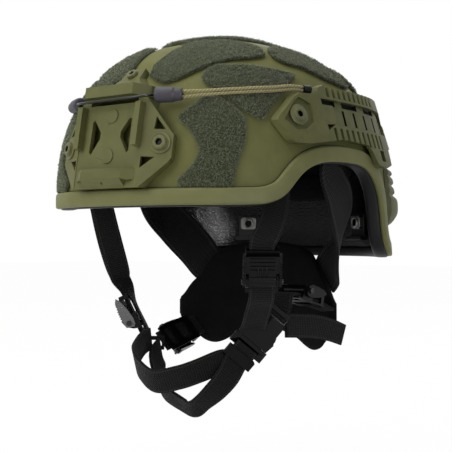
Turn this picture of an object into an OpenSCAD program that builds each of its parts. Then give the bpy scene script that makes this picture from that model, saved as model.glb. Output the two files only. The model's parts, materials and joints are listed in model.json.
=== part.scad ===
// Combat helmet: pressed shell with ear arches, edge band, front shroud, side rails,
// loop patches, bungee retention cord and a four-point chin harness.
// Origin: centre of the brow opening, where the head carries the helmet. Front is -Y,
// the wearer's left is +X, up is +Z. Millimetres.

/* [Shell] */
// Half of the shell's outer width
half_width = 122; // [117:0.5:127]
// Half of the shell's outer length
half_length = 139; // [134:0.5:144]
// Height of the crown over the brow edge
crown_height = 139.5; // [134:0.5:145]
// Fullness of the outline seen from above, where 2 is an ellipse
plan_power = 2.43; // [2.2:0.01:2.6]
// Fullness of the rise to the crown
rise_power = 2.5; // [2.3:0.01:2.7]
// Wall of the shell
shell_wall = 8; // [7:0.1:8.5]
// Height of the ear arch over the brow edge
arch_height = 34.5; // [31:0.5:36]
// Depth of the nape edge under the brow edge
nape_drop = 39; // [35:0.5:43]
// How far the nape edge flares out
nape_flare = 1.4; // [0:0.1:1.8]

/* [Edge band] */
// Height of the raised band along the edge
band_height = 12.5; // [10:0.5:13.5]
// How far the band stands out of the shell
band_proud = 4; // [2.5:0.1:5]
// Depth of the rubber seal under the shell edge
seal_depth = 2.4; // [1.5:0.1:4]
// Height of the seal's inner lip
seal_lip = 8; // [5:0.5:12]
// Wall of the seal's inner lip
seal_wall = 1.8; // [1:0.1:2.5]

/* [Loop patches] */
// Pile and backing of a loop patch
patch_thick = 2.6; // [1.5:0.1:3]

/* [Shroud] */
// How far the shroud's face stands in front of the shell's widest line, at the height of its wing screws
shroud_stand = 4.6; // [3:0.1:7]
// Height of the wing screws
shroud_z = 45.3; // [43:0.1:48]
// Lean of the shroud's face
shroud_lean = 10.2; // [8:0.1:12]
// Wall of the shroud's face
shroud_wall = 3.6; // [2.5:0.1:4.5]
// Half width of the shroud between the wings
shroud_half = 32; // [31:0.5:34]
// Backward turn of each wing
wing_turn = 22; // [18:1:25]
// Half distance between the wing screws
wing_screw_x = 45.3; // [44:0.1:47]
// Shank of the mounting screws
screw_d = 5; // [4:0.1:6]
// Head of the mounting screws
screw_head_d = 9.5; // [8.5:0.1:10.5]
// Washer under the screw heads
washer_d = 15.6; // [14:0.1:17]

/* [Rails] */
// Thickness of the rail's body
rail_wall = 6; // [5:0.1:6.4]
// How far the middle of the rail lies under its toothed edges
rail_groove = 3; // [2:0.1:3.5]
// Number of teeth along each toothed edge
rail_teeth = 10; // [8:1:11]
// Angle between two teeth, seen from above
tooth_pitch = 3.8; // [3.4:0.1:4]

/* [Nape guard] */
// How far the ribs of the nape guard stand out of the shell
guard_proud = 8; // [6:0.5:9]

/* [Harness] */
// Width of the webbing
webbing_w = 19; // [17:0.5:19]
// Thickness of the doubled webbing
webbing_t = 2.4; // [2:0.1:2.6]
// Length of a cam adjuster's frame
adjuster_len = 38; // [34:0.5:40]
// Pin of a cam adjuster
pin_d = 3; // [2.5:0.1:3.2]
// Running clearance round the pins, on the radius
pin_clear = 0.05; // [0.03:0.01:0.1]
// Clearance between moving pieces
gap = 0.3; // [0.25:0.01:0.4]
// Width of the side-release buckle
buckle_w = 26; // [25:0.5:28]
// Length of the buckle's socket
socket_len = 25; // [23:0.5:28]
// Thickness of the buckle
buckle_t = 8.4; // [8:0.1:9.5]
// Travel of the plug out of its socket
plug_travel = 20; // [15:1:24]

/* [Bungee] */
// Elastic cord
bungee_d = 2.4; // [2:0.1:3]
// Wire of the hook
hook_wire_d = 2.6; // [2:0.1:2.8]
// Grey sleeves at the ends of the hook
sleeve_d = 11.6; // [10:0.1:12]
// Length of a sleeve
sleeve_len = 20.5; // [19:0.5:20.5]

/* [Pads] */
// Thickness of the comfort pads
pad_thick = 17; // [12:0.5:20]
// Thickness of the nape pad
nape_thick = 9; // [7:0.5:11]

/* [Hidden] */

$fn = 48;
eps = 0.01;
seat = 0.2; // what lies on the curved shell keeps this much off it
patch_seat = 0.5; // and a patch this much, as its facets are coarser
shroud_reach = half_length + shroud_stand;

olive = "#6B6B45";
loop_green = "#5B6148";
black = "#1E1E20";
grey = "#6A6870";
tan_cord = "#8A8560";
steel = "#8C8C88";

// Numbers and vectors
function unit(v) = v / norm(v);
function mix(a, b, t) = a + (b - a) * t;
function rot_x(a, p) = [p.x, p.y * cos(a) - p.z * sin(a), p.y * sin(a) + p.z * cos(a)];
function rot_y(a, p) = [p.x * cos(a) + p.z * sin(a), p.y, p.z * cos(a) - p.x * sin(a)];
function rot_z(a, p) = [p.x * cos(a) - p.y * sin(a), p.x * sin(a) + p.y * cos(a), p.z];
// a point given in the frame of a placed piece, in the helmet's frame
function placed(at, turn, p) = at + rot_z(turn.z, rot_y(turn.y, rot_x(turn.x, p)));
function mirrored(p) = [-p.x, p.y, p.z];
// smooth curve through a list of points, with n steps from each to the next
function spline_at(p, i, t) =
  let (n = len(p) - 1, a = p[max(i - 1, 0)], b = p[i], c = p[min(i + 1, n)], d = p[min(i + 2, n)])
  0.5 * (2 * b + (c - a) * t + (2 * a - 5 * b + 4 * c - d) * t * t + (3 * b - a - 3 * c + d) * t * t * t);
function spline(p, n) = concat([for (i = [0:len(p) - 2], k = [0:n - 1]) spline_at(p, i, k / n)],
  [p[len(p) - 1]]);

// The dome
// Radius of the outline seen from above, at plan angle a (0 = left ear, -90 = brow)
function plan_radius(a, off) =
  pow(pow(abs(cos(a)) / (half_width + off), plan_power)
    + pow(abs(sin(a)) / (half_length + off), plan_power),
      -1 / plan_power);
// How much of that radius is left at height z
function rise_factor(z, off) =
  z <= 0 ? 1 : pow(max(1 - pow(z / (crown_height + off), rise_power), 0), 1 / rise_power);
function flare(z) = z < -5 ? nape_flare * pow((-5 - z) / 34, 2) : 0;
// Point of the dome at plan angle a and height z, off millimetres outside the shell
function on_dome(a, z, off) =
  let (r = plan_radius(a, off) * rise_factor(z, off) + flare(z)) [r * cos(a), r * sin(a), z];
// Heading of the dome's outward normal, seen from above
function heading(a) =
  let (p = on_dome(a, 0, 0), q = plan_power - 1)
  atan2(sign(p.y) * pow(abs(p.y) / half_length, q) / half_length,
        sign(p.x) * pow(abs(p.x) / half_width, q) / half_width);

// Surfaces
// Closed body between two grids of points of the same size: outer and inner. Seen from
// outside, a row runs to the right and the rows run upwards.
module slab(outer, inner) {
  rows = len(outer);
  cols = len(outer[0]);
  n = rows * cols;
  function id(r, c) = r * cols + c;
  points = concat([for (row = outer, p = row) p], [for (row = inner, p = row) p]);
  faces = concat(
    [for (r = [0:rows - 2], c = [0:cols - 2], h = [0, 1])
      h == 0 ? [id(r, c), id(r + 1, c), id(r + 1, c + 1)] : [id(r, c), id(r + 1, c + 1), id(r, c + 1)]],
    [for (r = [0:rows - 2], c = [0:cols - 2], h = [0, 1])
      h == 0 ? [n + id(r, c), n + id(r + 1, c + 1), n + id(r + 1, c)]
             : [n + id(r, c), n + id(r, c + 1), n + id(r + 1, c + 1)]],
    [for (c = [0:cols - 2], h = [0, 1])
      h == 0 ? [id(0, c), id(0, c + 1), n + id(0, c + 1)] : [id(0, c), n + id(0, c + 1), n + id(0, c)]],
    [for (c = [0:cols - 2], h = [0, 1], r = [rows - 1])
      h == 0 ? [id(r, c), n + id(r, c + 1), id(r, c + 1)] : [id(r, c), n + id(r, c), n + id(r, c + 1)]],
    [for (r = [0:rows - 2], h = [0, 1])
      h == 0 ? [id(r, 0), n + id(r + 1, 0), id(r + 1, 0)] : [id(r, 0), n + id(r, 0), n + id(r + 1, 0)]],
    [for (r = [0:rows - 2], h = [0, 1], c = [cols - 1])
      h == 0 ? [id(r, c), id(r + 1, c), n + id(r + 1, c)] : [id(r, c), n + id(r + 1, c), n + id(r, c)]]);
  polyhedron(points, faces, convexity = 6);
}

// Closed body along a list of sections with the same number of points. A ring joins its
// last section to the first; otherwise both ends are capped.
module loft(sections, ring = false) {
  n = len(sections);
  m = len(sections[0]);
  steps = ring ? n : n - 1;
  function id(i, k) = (i % n) * m + k % m;
  sides = [for (i = [0:steps - 1], k = [0:m - 1], h = [0, 1])
    h == 0 ? [id(i, k), id(i, k + 1), id(i + 1, k + 1)] : [id(i, k), id(i + 1, k + 1), id(i + 1, k)]];
  caps = ring ? [] : [for (k = [1:m - 2]) [0, k + 1, k],
    for (k = [1:m - 2]) [id(n - 1, 0), id(n - 1, k), id(n - 1, k + 1)]];
  polyhedron([for (s = sections, p = s) p], concat(sides, caps), convexity = 6);
}

// Sections of webbing: stations hold [centre, direction of the width, share of the width]
function webbing_sections(stations, n, w, t) =
  let (p = spline([for (s = stations) s[0]], n), d = spline([for (s = stations) s[1]], n),
       wide = spline([for (s = stations) len(s) > 2 ? s[2] : 1], n), last = len(p) - 1)
  [for (i = [0:last])
    let (along = unit(p[min(i + 1, last)] - p[max(i - 1, 0)]),
         face = unit(cross(along, d[i])), side = cross(face, along))
    [for (c = [[-1, -1], [-1, 1], [1, 1], [1, -1]]) p[i] + side * c.x * wide[i] * w / 2
      + face * c.y * t / 2]];

module webbing(stations, n = 3, w = webbing_w, t = webbing_t) loft(webbing_sections(stations, n, w, t));

// Round tube along a list of points; ref is a direction the tube never runs in
module tube(points, d, sides, ref = [0, 0, 1]) {
  last = len(points) - 1;
  loft([for (i = [0:last])
    let (along = unit(points[min(i + 1, last)] - points[max(i - 1, 0)]),
         side = unit(cross(along, ref)), up = cross(side, along))
    [for (k = [0:sides - 1]) points[i]
      + (side * cos(360 * k / sides) + up * sin(360 * k / sides)) * d / 2]]);
}

// The rim line
// Left half of the rim: plan angle, then height as a share of the arch (+) or nape (-)
rim_left = [[-90, 0], [-83, 0], [-76, 0], [-70, 0], [-64, 0], [-59, 0], [-54, 0], [-47, 0.01], [-42, 0.03],
  [-38.4, 0.09], [-35.4, 0.19],
  [-33, 0.33], [-30.6, 0.51], [-28, 0.68], [-25, 0.81], [-21, 0.91], [-16, 0.97], [-10, 0.995], [-3, 1],
  [4, 0.985], [9, 0.93], [13, 0.82], [16.4, 0.66], [19, 0.47], [21, 0.26], [22.6, 0], [23.8, -0.25],
  [25.2, -0.5], [27.4, -0.72], [30.6, -0.87], [35, -0.965], [41, -1], [50, -1], [60, -1], [70, -1],
    [80, -1], [90, -1]];
rim_half = [for (p = rim_left) [p[0], p[1] > 0 ? p[1] * arch_height : p[1] * nape_drop]];
rim = concat(rim_half, [for (i = [len(rim_half) - 2:-1:1]) [180 - rim_half[i][0], rim_half[i][1]]]);
rim_n = len(rim);
// Point by the rim: i = column, u = distance up into the shell, off = distance outside it
function rim_at(i, u) =
  let (p = rim[i % rim_n], a = rim[(i + rim_n - 1) % rim_n], b = rim[(i + 1) % rim_n],
       turn = b[0] < a[0] ? 360 : 0, k = plan_radius(p[0], 0) * PI / 180,
       run = (b[0] + turn - a[0]) * k, up = b[1] - a[1], l = norm([run, up]))
  [p[0] - u * up / l / k, p[1] + u * run / l];
function by_rim(i, u, off) = let (q = rim_at(i, u)) on_dome(q[0], q[1], off);

edge_under = seal_depth + 0.1; // the shell's edge lies this far above the seal's foot
shell_rows = 12;

module shell_blank() {
  function ring_z(z0, h, r) = z0 + (h - z0) * sin(90 * r / shell_rows);
  function ring(r, off) = [for (i = [0:rim_n - 1])
    let (q = rim_at(i, edge_under)) on_dome(q[0], ring_z(q[1], crown_height + off, r), off)];
  outer = [for (r = [0:shell_rows - 1]) each ring(r, 0)];
  inner = [for (r = [0:shell_rows - 1]) each ring(r, -shell_wall)];
  n = shell_rows * rim_n;
  function id(r, i) = r * rim_n + i % rim_n;
  skin = [for (r = [0:shell_rows - 2], i = [0:rim_n - 1], h = [0, 1])
    h == 0 ? [id(r, i), id(r + 1, i + 1), id(r, i + 1)] : [id(r, i), id(r + 1, i), id(r + 1, i + 1)]];
  cap = [for (i = [0:rim_n - 1]) [id(shell_rows - 1, i), 2 * n, id(shell_rows - 1, i + 1)]];
  lining = [for (f = skin) [f[0] + n, f[2] + n, f[1] + n]];
  ceiling = [for (i = [0:rim_n - 1]) [n + id(shell_rows - 1, i), n + id(shell_rows - 1, i + 1), 2 * n + 1]];
  edge = [for (i = [0:rim_n - 1], h = [0, 1])
    h == 0 ? [id(0, i), id(0, i + 1), n + id(0, i + 1)] : [id(0, i), n + id(0, i + 1), n + id(0, i)]];
  polyhedron(concat(outer, inner, [[0, 0, crown_height], [0, 0, crown_height - shell_wall]]),
    concat(skin, cap, lining, ceiling, edge), convexity = 8);
}

// Part of the space inside the dome, to cut what lies on it: plan angles a0 to a1, heights z0 to z1
module dome_block(a0, a1, z0, z1, off = seat, na = 10, nz = 6) {
  grid = function (o) [for (r = [0:nz]) [for (c = [0:na]) on_dome(mix(a0, a1, c / na), mix(z0, z1, r / nz),
    o)]];
  slab(grid(off), grid(off - 40));
}

module shell() color(olive) difference() {
  shell_blank();
  mount_bores();
}

module rim_band() color(olive) {
  h = band_height;
  p = band_proud;
  loft([for (i = [0:rim_n - 1])
    [by_rim(i, 0, seat + 0.25), by_rim(i, 0.6, p - 0.6), by_rim(i, 1.6, p), by_rim(i, h - 2.4, p),
      by_rim(i, h, seat + 0.5),
     by_rim(i, h, seat + 0.25)]], ring = true);
}

module edge_seal() color(black) {
  under = edge_under - 0.1;
  wall = shell_wall + gap;
  loft([for (i = [0:rim_n - 1])
    [by_rim(i, under, 0), by_rim(i, under, -wall), by_rim(i, seal_lip, -wall),
      by_rim(i, seal_lip, -wall - 0.6),
     by_rim(i, seal_lip - 2, -wall - seal_wall), by_rim(i, 0.4, -wall - seal_wall),
       by_rim(i, -0.9, -wall + 1),
     by_rim(i, -0.9, -1)]], ring = true);
}

// Loop patches
// A patch holds rows of [height, first angle, last angle], or stands of [angle, height of its foot,
// hundredths of the way from there up to patch_limit]
patch_limit = 0.955 * crown_height; // only the patch on the crown lies higher
function across(rows, n, off, foot) =
  [for (r = spline(rows, 2)) [for (c = [0:n]) on_dome(mix(r[1], r[2], c / n), foot + r[0], off)]];
function upright(stands, n, off) =
  [for (c = [0:n]) [for (s = spline(stands, 2))
    on_dome(s[0], s[1] + (patch_limit - s[1]) * s[2] / 100 * c / n, off)]];

front_patch = [[-84, 100, 24.1], [-80, 95, 68], [-75, 91.5, 89.9], [-69, 95, 92.9], [-61, 104, 92.4],
  [-52, 110, 88.3], [-41, 113, 74.2], [-34, 117, 37]];
upper_patch = [[-30, 116, 34.8], [-25, 111, 72], [-14, 109, 82.6], [-4, 104, 82.1], [6, 101, 74.5],
  [14, 99, 55.5], [20, 99, 23.4]];
temple_patch = [[63, -42.5, -41], [68, -47, -39.5], [74, -51, -37.5], [81, -54.5, -34], [88, -59, -31],
  [95, -62, -27],
  [101, -60.5, -23], [103.5, -58.5, -33], [105.5, -56, -44]];
side_patch = [[0.3, -66, -52], [5.5, -67, -51], [15.5, -63, -50], [26.5, -61, -48.5], [33.5, -62, -47.5],
  [41.5, -64, -47],
  [51.5, -68, -47.5], [59.5, -64, -51], [66.5, -60, -56]]; // heights over the edge band
rear_patch = [[30, 104, 27.4], [40, 101, 65.2], [52, 98, 82.3], [66, 98, 85.2], [78, 100, 78.3],
  [84, 104, 41.1]];

module upright_patch(stands) slab(upright(stands, 4, patch_seat + patch_thick),
  upright(stands, 4, patch_seat));
module across_patch(rows, foot = 0)
  slab(across(rows, 4, patch_seat + patch_thick, foot), across(rows, 4, patch_seat, foot));

module patch_front_left() color(loop_green) upright_patch(front_patch);
module patch_front_right() color(loop_green) mirror([1, 0, 0]) upright_patch(front_patch);
module patch_upper_left() color(loop_green) upright_patch(upper_patch);
module patch_upper_right() color(loop_green) mirror([1, 0, 0]) upright_patch(upper_patch);
module patch_temple_left() color(loop_green) across_patch(temple_patch);
module patch_temple_right() color(loop_green) mirror([1, 0, 0]) across_patch(temple_patch);
module patch_side_left() color(loop_green) across_patch(side_patch, band_height);
module patch_side_right() color(loop_green) mirror([1, 0, 0]) across_patch(side_patch, band_height);
module patch_rear_left() color(loop_green) upright_patch(rear_patch);
module patch_rear_right() color(loop_green) mirror([1, 0, 0]) upright_patch(rear_patch);
// The crown patch is an eight-sided cap, cut from the dome seen from above, in hundredths of the
// shell's half length and half width
crown_outline = [[-40.3, 11.5], [-33.1, 27.9], [-17.3, 34.4], [17.3, 34.4], [33.1, 27.9], [40.3, 11.5]];
crown_rows = [-40.3, -36.7, -33.1, -28, -23, -17.3, -8.6, 0, 8.6, 17.3, 23, 28, 33.1, 36.7, 40.3];
function crown_point(x, y, off) =
  let (q = pow(pow(abs(x) / (half_width + off), plan_power)
    + pow(abs(y) / (half_length + off), plan_power), 1 / plan_power))
  [x, y, (crown_height + off) * pow(1 - pow(q, rise_power), 1 / rise_power)];
function crown_grid(off) = [for (y = crown_rows)
  let (x = lookup(y, crown_outline) * half_width / 100)
  [for (c = [0:8]) crown_point(mix(-x, x, c / 8), y * half_length / 100, off)]];
module patch_crown() color(loop_green) slab(crown_grid(patch_seat + patch_thick), crown_grid(patch_seat));

// Mounting screws
// Value of the dome at a point: under 1 inside the surface that lies off outside the shell
function dome_value(p, off) =
  let (q = pow(pow(abs(p.x) / (half_width + off), plan_power)
    + pow(abs(p.y) / (half_length + off), plan_power),
               1 / plan_power))
  p.z <= 0 ? q : pow(pow(q, rise_power) + pow(p.z / (crown_height + off), rise_power), 1 / rise_power);
// Distance from point p along direction d to that surface
function dome_depth(p, d, off, n = 10, t = 0) =
  n == 0 ? t : let (q = p + d * t, v = dome_value(q, off)) dome_depth(p, d, off, n - 1,
    t + (v - 1) * norm(q) / v);

washer_t = 1.2;
screw_head_t = 2.8;
nut_d = 12;
nut_t = 3;
nut_seat = 1.55; // a flat nut on the hollow wall keeps this much off it at its middle
lug_z = 100;
// The top lug's face leans back a little more than the shell does there
lug_turn = 3.5 + atan(plan_radius(-90, 0) * (rise_factor(lug_z - 4, 0) - rise_factor(lug_z + 4, 0)) / 8);
lug_screw_at = on_dome(-90, lug_z, 5.6);
lug_out = placed([0, 0, 0], [90 - lug_turn, 0, 0], [0, 0, 1]);
wing_screw_at = [(wing_screw_x - shroud_half) / cos(wing_turn), 0, 0];
wing_at = placed([0, -shroud_reach, shroud_z], [90 - shroud_lean, 0, 0],
  placed([shroud_half, 0, 0], [0, wing_turn, 0], wing_screw_at));
wing_out = placed([0, 0, 0], [90 - shroud_lean, 0, 0], placed([0, 0, 0], [0, wing_turn, 0], [0, 0, 1]));
wing_depth = dome_depth(wing_at, -wing_out, -shell_wall);
lug_depth = dome_depth(lug_screw_at, -lug_out, -shell_wall);

module at_shroud() translate([0, -shroud_reach, shroud_z]) rotate([90 - shroud_lean, 0, 0]) children();
module at_wing() at_shroud() translate([shroud_half, 0, 0]) rotate([0, wing_turn, 0]) children();
module at_wing_screw() at_wing() translate(wing_screw_at) children();
module at_lug_screw() translate(lug_screw_at) rotate([90 - lug_turn, 0, 0]) children();

module screw(depth) difference() {
  union() {
    cylinder(d = washer_d, h = washer_t);
    translate([0, 0, washer_t - eps]) cylinder(d1 = screw_head_d, d2 = screw_head_d - 2, h = screw_head_t);
    translate([0, 0, -depth - nut_seat - nut_t]) cylinder(d = screw_d, h = depth + nut_seat + nut_t + eps);
  }
  translate([0, 0, washer_t + 0.8]) cylinder(d = 4.6, h = screw_head_t, $fn = 6);
}
module small_screw(depth) difference() {
  union() {
    cylinder(d1 = 9, d2 = 7.4, h = 2.4);
    translate([0, 0, -depth - nut_seat - nut_t]) cylinder(d = screw_d, h = depth + nut_seat + nut_t + eps);
  }
  translate([0, 0, 0.6]) cylinder(d = 3.8, h = 3, $fn = 6);
}
module nut(depth) translate([0, 0, -depth - nut_seat - nut_t]) difference() {
  cylinder(d = nut_d, h = nut_t);
  translate([0, 0, -1]) cylinder(d = screw_d + 0.1, h = nut_t + 2);
}
module screw_hole() translate([0, 0, -40]) cylinder(d = screw_d + 2 * gap, h = 60);

// Shroud
bar_low = 34.8; // foot and top of the bar, up along the shroud's face
bar_top = 43.3;
bar_proud = 8;
bar_half = 24;
guide_x = 29.2;
guide_w = 5;
guide_proud = 6;
catch_half = 20;
catch_top = -19.5;
catch_foot = -27.5;
catch_proud = 5.8;
wing_outline = [[-1, -33], [1.1, -33], [21.6, -13.5], [23.7, -10.5], [23.7, 6.8], [20.5, 9.9], [1.1, 33],
  [-1, 33]];
wing_pocket = [[-1, -27], [0.5, -27], [18.6, -12], [20.6, -9.6], [20.6, 5.8], [18.6, 8], [0.5, 27],
  [-1, 27]];

module shroud_outline() polygon([[-1, -34], [30, -34], [shroud_half, -33], [shroud_half, 33],
  [26, bar_top], [-1, bar_top]]);

module shroud_side() {
  difference() {
    union() {
      at_shroud() translate([0, 0, -24]) linear_extrude(24) shroud_outline();
      at_wing() translate([0, 0, -24]) linear_extrude(24) polygon(wing_outline);
      at_shroud() translate([guide_x - guide_w / 2, -3, -1]) cube([guide_w, 32.2, guide_proud + 1]);
      at_shroud() translate([-1, bar_low, -1]) cube([bar_half + 1, bar_top - bar_low, bar_proud + 1]);
      at_shroud() translate([0, bar_top, 0]) rotate([90, 0, 0]) linear_extrude(bar_top - bar_low)
        polygon([[bar_half - 1, -12], [bar_half + 8, -12], [bar_half + 8, -4], [bar_half, bar_proud],
          [bar_half - 1, bar_proud]]);
      at_shroud() rotate([90, 0, 90]) translate([0, 0, -1]) linear_extrude(catch_half + 1)
        polygon([[-36, -1], [-32, 0], [catch_foot, catch_proud], [catch_top, catch_proud],
          [catch_top + 1, 0], [catch_top + 1, -1]]);
      at_shroud() translate([0, catch_top, 0]) rotate([90, 0, 0]) linear_extrude(catch_top - catch_foot)
        polygon([[catch_half - 1, -1], [catch_half + 9, -1], [catch_half + 9, 0],
          [catch_half, catch_proud], [catch_half - 1, catch_proud]]);
    }
    at_shroud() translate([-2, -29, -30]) cube([28, 58, 30 - shroud_wall]);
    at_wing() translate([0, 0, -30]) linear_extrude(30 - shroud_wall) polygon(wing_pocket);
    // bow window, slot under the bar and the two small triangles
    at_shroud() translate([0, 0, -30]) linear_extrude(40) polygon([[17.6, 19.5], [19.6, 18.5], [20, -5],
      [18.2, -7], [10.2, 5], [10.2, 9.5]]);
    at_shroud() translate([-2, 30.6, -30]) cube([bar_half + 2, bar_low - 30.6, 40]);
    at_wing() translate([0, 0, -30]) linear_extrude(40) polygon([[8.2, 10.2], [17.3, 10.2], [9.3, 19.5]]);
    at_wing() translate([0, 0, -30]) linear_extrude(40) polygon([[11, -10.3], [0.6, -10.3], [0.6, -19]]);
    at_wing_screw() translate([0, 0, -shroud_wall - 30]) cylinder(d = 12, h = 30);
  }
  at_wing_screw() translate([0, 0, -14]) cylinder(d = 12, h = 14 - shroud_wall + 0.5);
}

// The lug reaches from the bar's top up to its own screw
bar_top_at = placed([0, -shroud_reach, shroud_z], [90 - shroud_lean, 0, 0], [0, bar_top, 0]);
module shroud_lug() {
  low = [bar_top_at.y, bar_top_at.z];
  high = [lug_screw_at.y, lug_z];
  side_view = [low + [-1.1, -1.9], low + [0.4, 0.3], high + [-8, -8.6],
    high + [5.2, 5], high + [13.3, -2.5], high + [6.3, -16],
    low + [10.9, -9.9], low + [-1.1, -7.9]];
  half_front = [[-1, low.y - 18], [18, low.y - 18], [18, low.y + 1.1], [9.5, lug_z - 3.5],
    [8.5, lug_z + 8], [-1, lug_z + 8]];
  intersection() {
    rotate([90, 0, 90]) translate([0, 0, -18]) linear_extrude(36) polygon(side_view);
    translate([0, high.x + 18, 0]) rotate([90, 0, 0]) linear_extrude(60) union() {
      polygon(half_front);
      mirror([1, 0]) polygon(half_front);
    }
  }
}

module nvg_shroud() color(olive) difference() {
  union() {
    shroud_side();
    mirror([1, 0, 0]) shroud_side();
    shroud_lug();
    for (y = [21.6, -9]) at_shroud() translate([0, y, -1]) cylinder(d = 10.8, h = 1.4);
  }
  for (m = [0, 1]) mirror([m, 0, 0]) at_wing_screw() screw_hole();
  at_lug_screw() screw_hole();
  at_lug_screw() cylinder(d = 9.6, h = 10);
  at_shroud() translate([0, catch_foot - 5, catch_proud - 3.4]) rotate([90, 0, 0]) cylinder(d = 2.4,
    h = 12, center = true);
  dome_block(-142, -38, 2, crown_height - 15.5, seat, 20, 12);
  // the foot stands on the edge band
  translate([-60, -170, 0]) cube([120, 60, band_height + gap]);
}

module shroud_screws() color(steel) {
  for (m = [0, 1]) mirror([m, 0, 0]) at_wing_screw() screw(wing_depth);
  at_lug_screw() small_screw(lug_depth);
}

// Side rails
rail_mid = 55;
rail_stand = 7.31; // how far the rail's face stands out of the shell, at rail_mid
rail_span = [38, 82.75]; // the rail leans as the shell does between these heights
rail_lean = atan(half_width * (rise_factor(rail_span[0], 0) - rise_factor(rail_span[1],
  0)) / (rail_span[1] - rail_span[0]));
rail_face = rail_stand - half_width * (1 - rise_factor(rail_mid, 0)); // past the shell's widest line
recess = 2.4;
rail_lobe_top = 84.8;
function rail_point(a, z, d) =
  let (r = plan_radius(a, rail_face - tan(rail_lean) * (z - rail_mid) - d)) [r * cos(a), r * sin(a), z];
// Plan angle at which the rail's face passes the distance y behind the shell's middle
function rail_angle(y, z, d, n = 12, a = 0) =
  n == 0 ? a : let (p = rail_point(a, z, d)) rail_angle(y, z, d, n - 1, asin(y / norm([p.x, p.y])));
// Bolts: plan angle and height
front_bolt = [rail_angle(-60.51, 67, recess), 67];
rear_bolt = [rail_angle(99.80, 70, recess), 70];
module rail_blank(d0, d1, a0 = -44, a1 = 62, z0 = 28, z1 = 100, n = 20)
  slab([for (z = [z0, z1]) [for (c = [0:n]) rail_point(mix(a0, a1, c / n), z, d0)]],
       [for (z = [z0, z1]) [for (c = [0:n]) rail_point(mix(a0, a1, c / n), z, d1)]]);
module from_side(points) rotate([90, 0, 90]) linear_extrude(180) polygon(points);
module at_rail(a, z, d = 0) translate(rail_point(a, z, d)) rotate([0, 90 - rail_lean,
  heading(a)]) children();

rail_outline = [[-81, 62], [-79, 65], [-62, 81], [-56, rail_lobe_top - 0.4], [-38, rail_lobe_top],
  [-35, 90.5], [-27, 93.5],
  [-24, 92], [62, 92.5], [88, 92], [106, 86], [115, 76], [115, 65], [107, 57], [92, 52.5], [70, 50.5],
    [66, 37], [47, 33],
  [31, 35], [28, 39.5], [25, 45.5], [20, 50], [0, 51], [-18, 51.3], [-58, 45.6], [-70, 45.6],
    [-73.5, 47.5]];

module rail_body() difference() {
  union() {
    intersection() {
      rail_blank(0, rail_wall);
      from_side(rail_outline);
    }
    for (b = [front_bolt, rear_bolt])
      difference() {
        at_rail(b[0], b[1], recess + 2) translate([0, 0, -16]) cylinder(d = 14, h = 16);
        dome_block(b[0] - 12, b[0] + 12, b[1] - 22, b[1] + 16, seat, 8, 8);
      }
  }
  intersection() {
    rail_blank(-2, rail_groove);
    from_side([[-22, 62], [-22, 82], [86, 82], [92, 74], [84, 62]]);
  }
  intersection() {
    rail_blank(-2, recess);
    from_side([[-58, 81], [-48, 76.5], [-46.5, 70], [-48.5, 62], [-56, 57], [-67, 55.5], [-75.5, 63],
      [-63, 78]]);
  }
  for (i = [0:rail_teeth - 1], z = [84, 60]) at_rail(-12 + i * tooth_pitch, z)
    translate([z > 60 ? -12 : 0, -1.7, -2.4]) cube([12, 3.4, 6]);
  for (s = [[-35, -14], [-4, 20], [33, 56]]) from_side([[s[0], 78.6], [s[1], 78.6], [s[1], 82],
    [s[0], 82]]);
  for (a = [-9.5, -2, 6, 14.5, 23.5, 32.5]) at_rail(a,
    70) translate([-6, -1.1, -rail_wall - 2]) cube([12, 2.2, 12]);
  from_side([[-34, 62], [-23.5, 62.8], [-34, 57]]);
  from_side([[41, 38.5], [50, 38.5], [50, 47.5], [41, 47.5]]);
  for (b = [front_bolt, rear_bolt]) at_rail(b[0], b[1], recess) screw_hole();
  at_rail(rear_bolt[0], rear_bolt[1], recess) cylinder(d = washer_d + 2, h = 8);
  // the leg rides over the edge band
  dome_block(2, 62, 24, 50, band_proud + seat + gap, 12, 3);
}
module rail_left() color(olive) rail_body();
module rail_right() color(olive) mirror([1, 0, 0]) rail_body();

function rail_out(a) = rot_z(heading(a), [cos(rail_lean), 0, sin(rail_lean)]);
function rail_depth(b) = dome_depth(rail_point(b[0], b[1], recess), -rail_out(b[0]), -shell_wall);
module rail_screws() color(steel) for (m = [0, 1], b = [front_bolt, rear_bolt])
  mirror([m, 0, 0]) at_rail(b[0], b[1], recess) translate([0, 0, 0.1]) screw(rail_depth(b) + 0.1);

module mount_nuts() color(steel) {
  for (m = [0, 1]) mirror([m, 0, 0]) {
    for (b = [front_bolt, rear_bolt]) at_rail(b[0], b[1], recess) nut(rail_depth(b));
    at_wing_screw() nut(wing_depth);
  }
  at_lug_screw() nut(lug_depth);
}
module mount_bores() {
  for (m = [0, 1]) mirror([m, 0, 0]) {
    for (b = [front_bolt, rear_bolt]) at_rail(b[0], b[1], recess) screw_hole();
    at_wing_screw() screw_hole();
  }
  at_lug_screw() screw_hole();
}

// Nape guard
// Outer line of the ribs, from the foot up: height, then share of the guard's standing out
guard_line = [[-13, 0.1], [-10.5, 0.6], [-7, 0.98], [-2, 1.3], [4, 1.35], [10, 1.25], [13.4, 0.8],
  [15.5, 1], [19, 0.97],
  [22, 0.7], [24, 0.92], [27.4, 0.88], [29.8, 0.62], [31.6, 0.84], [34, 0.78], [36, 0.3]];
module nape_guard() color(olive) {
  n = 18;
  inner = seat + gap;
  loft([for (i = [0:n])
    let (a = mix(34, 146, i / n), end = min(1, 0.4 + 1.8 * sin(180 * i / n)))
    concat([for (g = guard_line) on_dome(a, g[0], inner + 0.5 + g[1] * guard_proud * end)],
      [for (z = [36, 27, 18, 0, -13]) on_dome(a, z, inner)])]);
}

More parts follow.
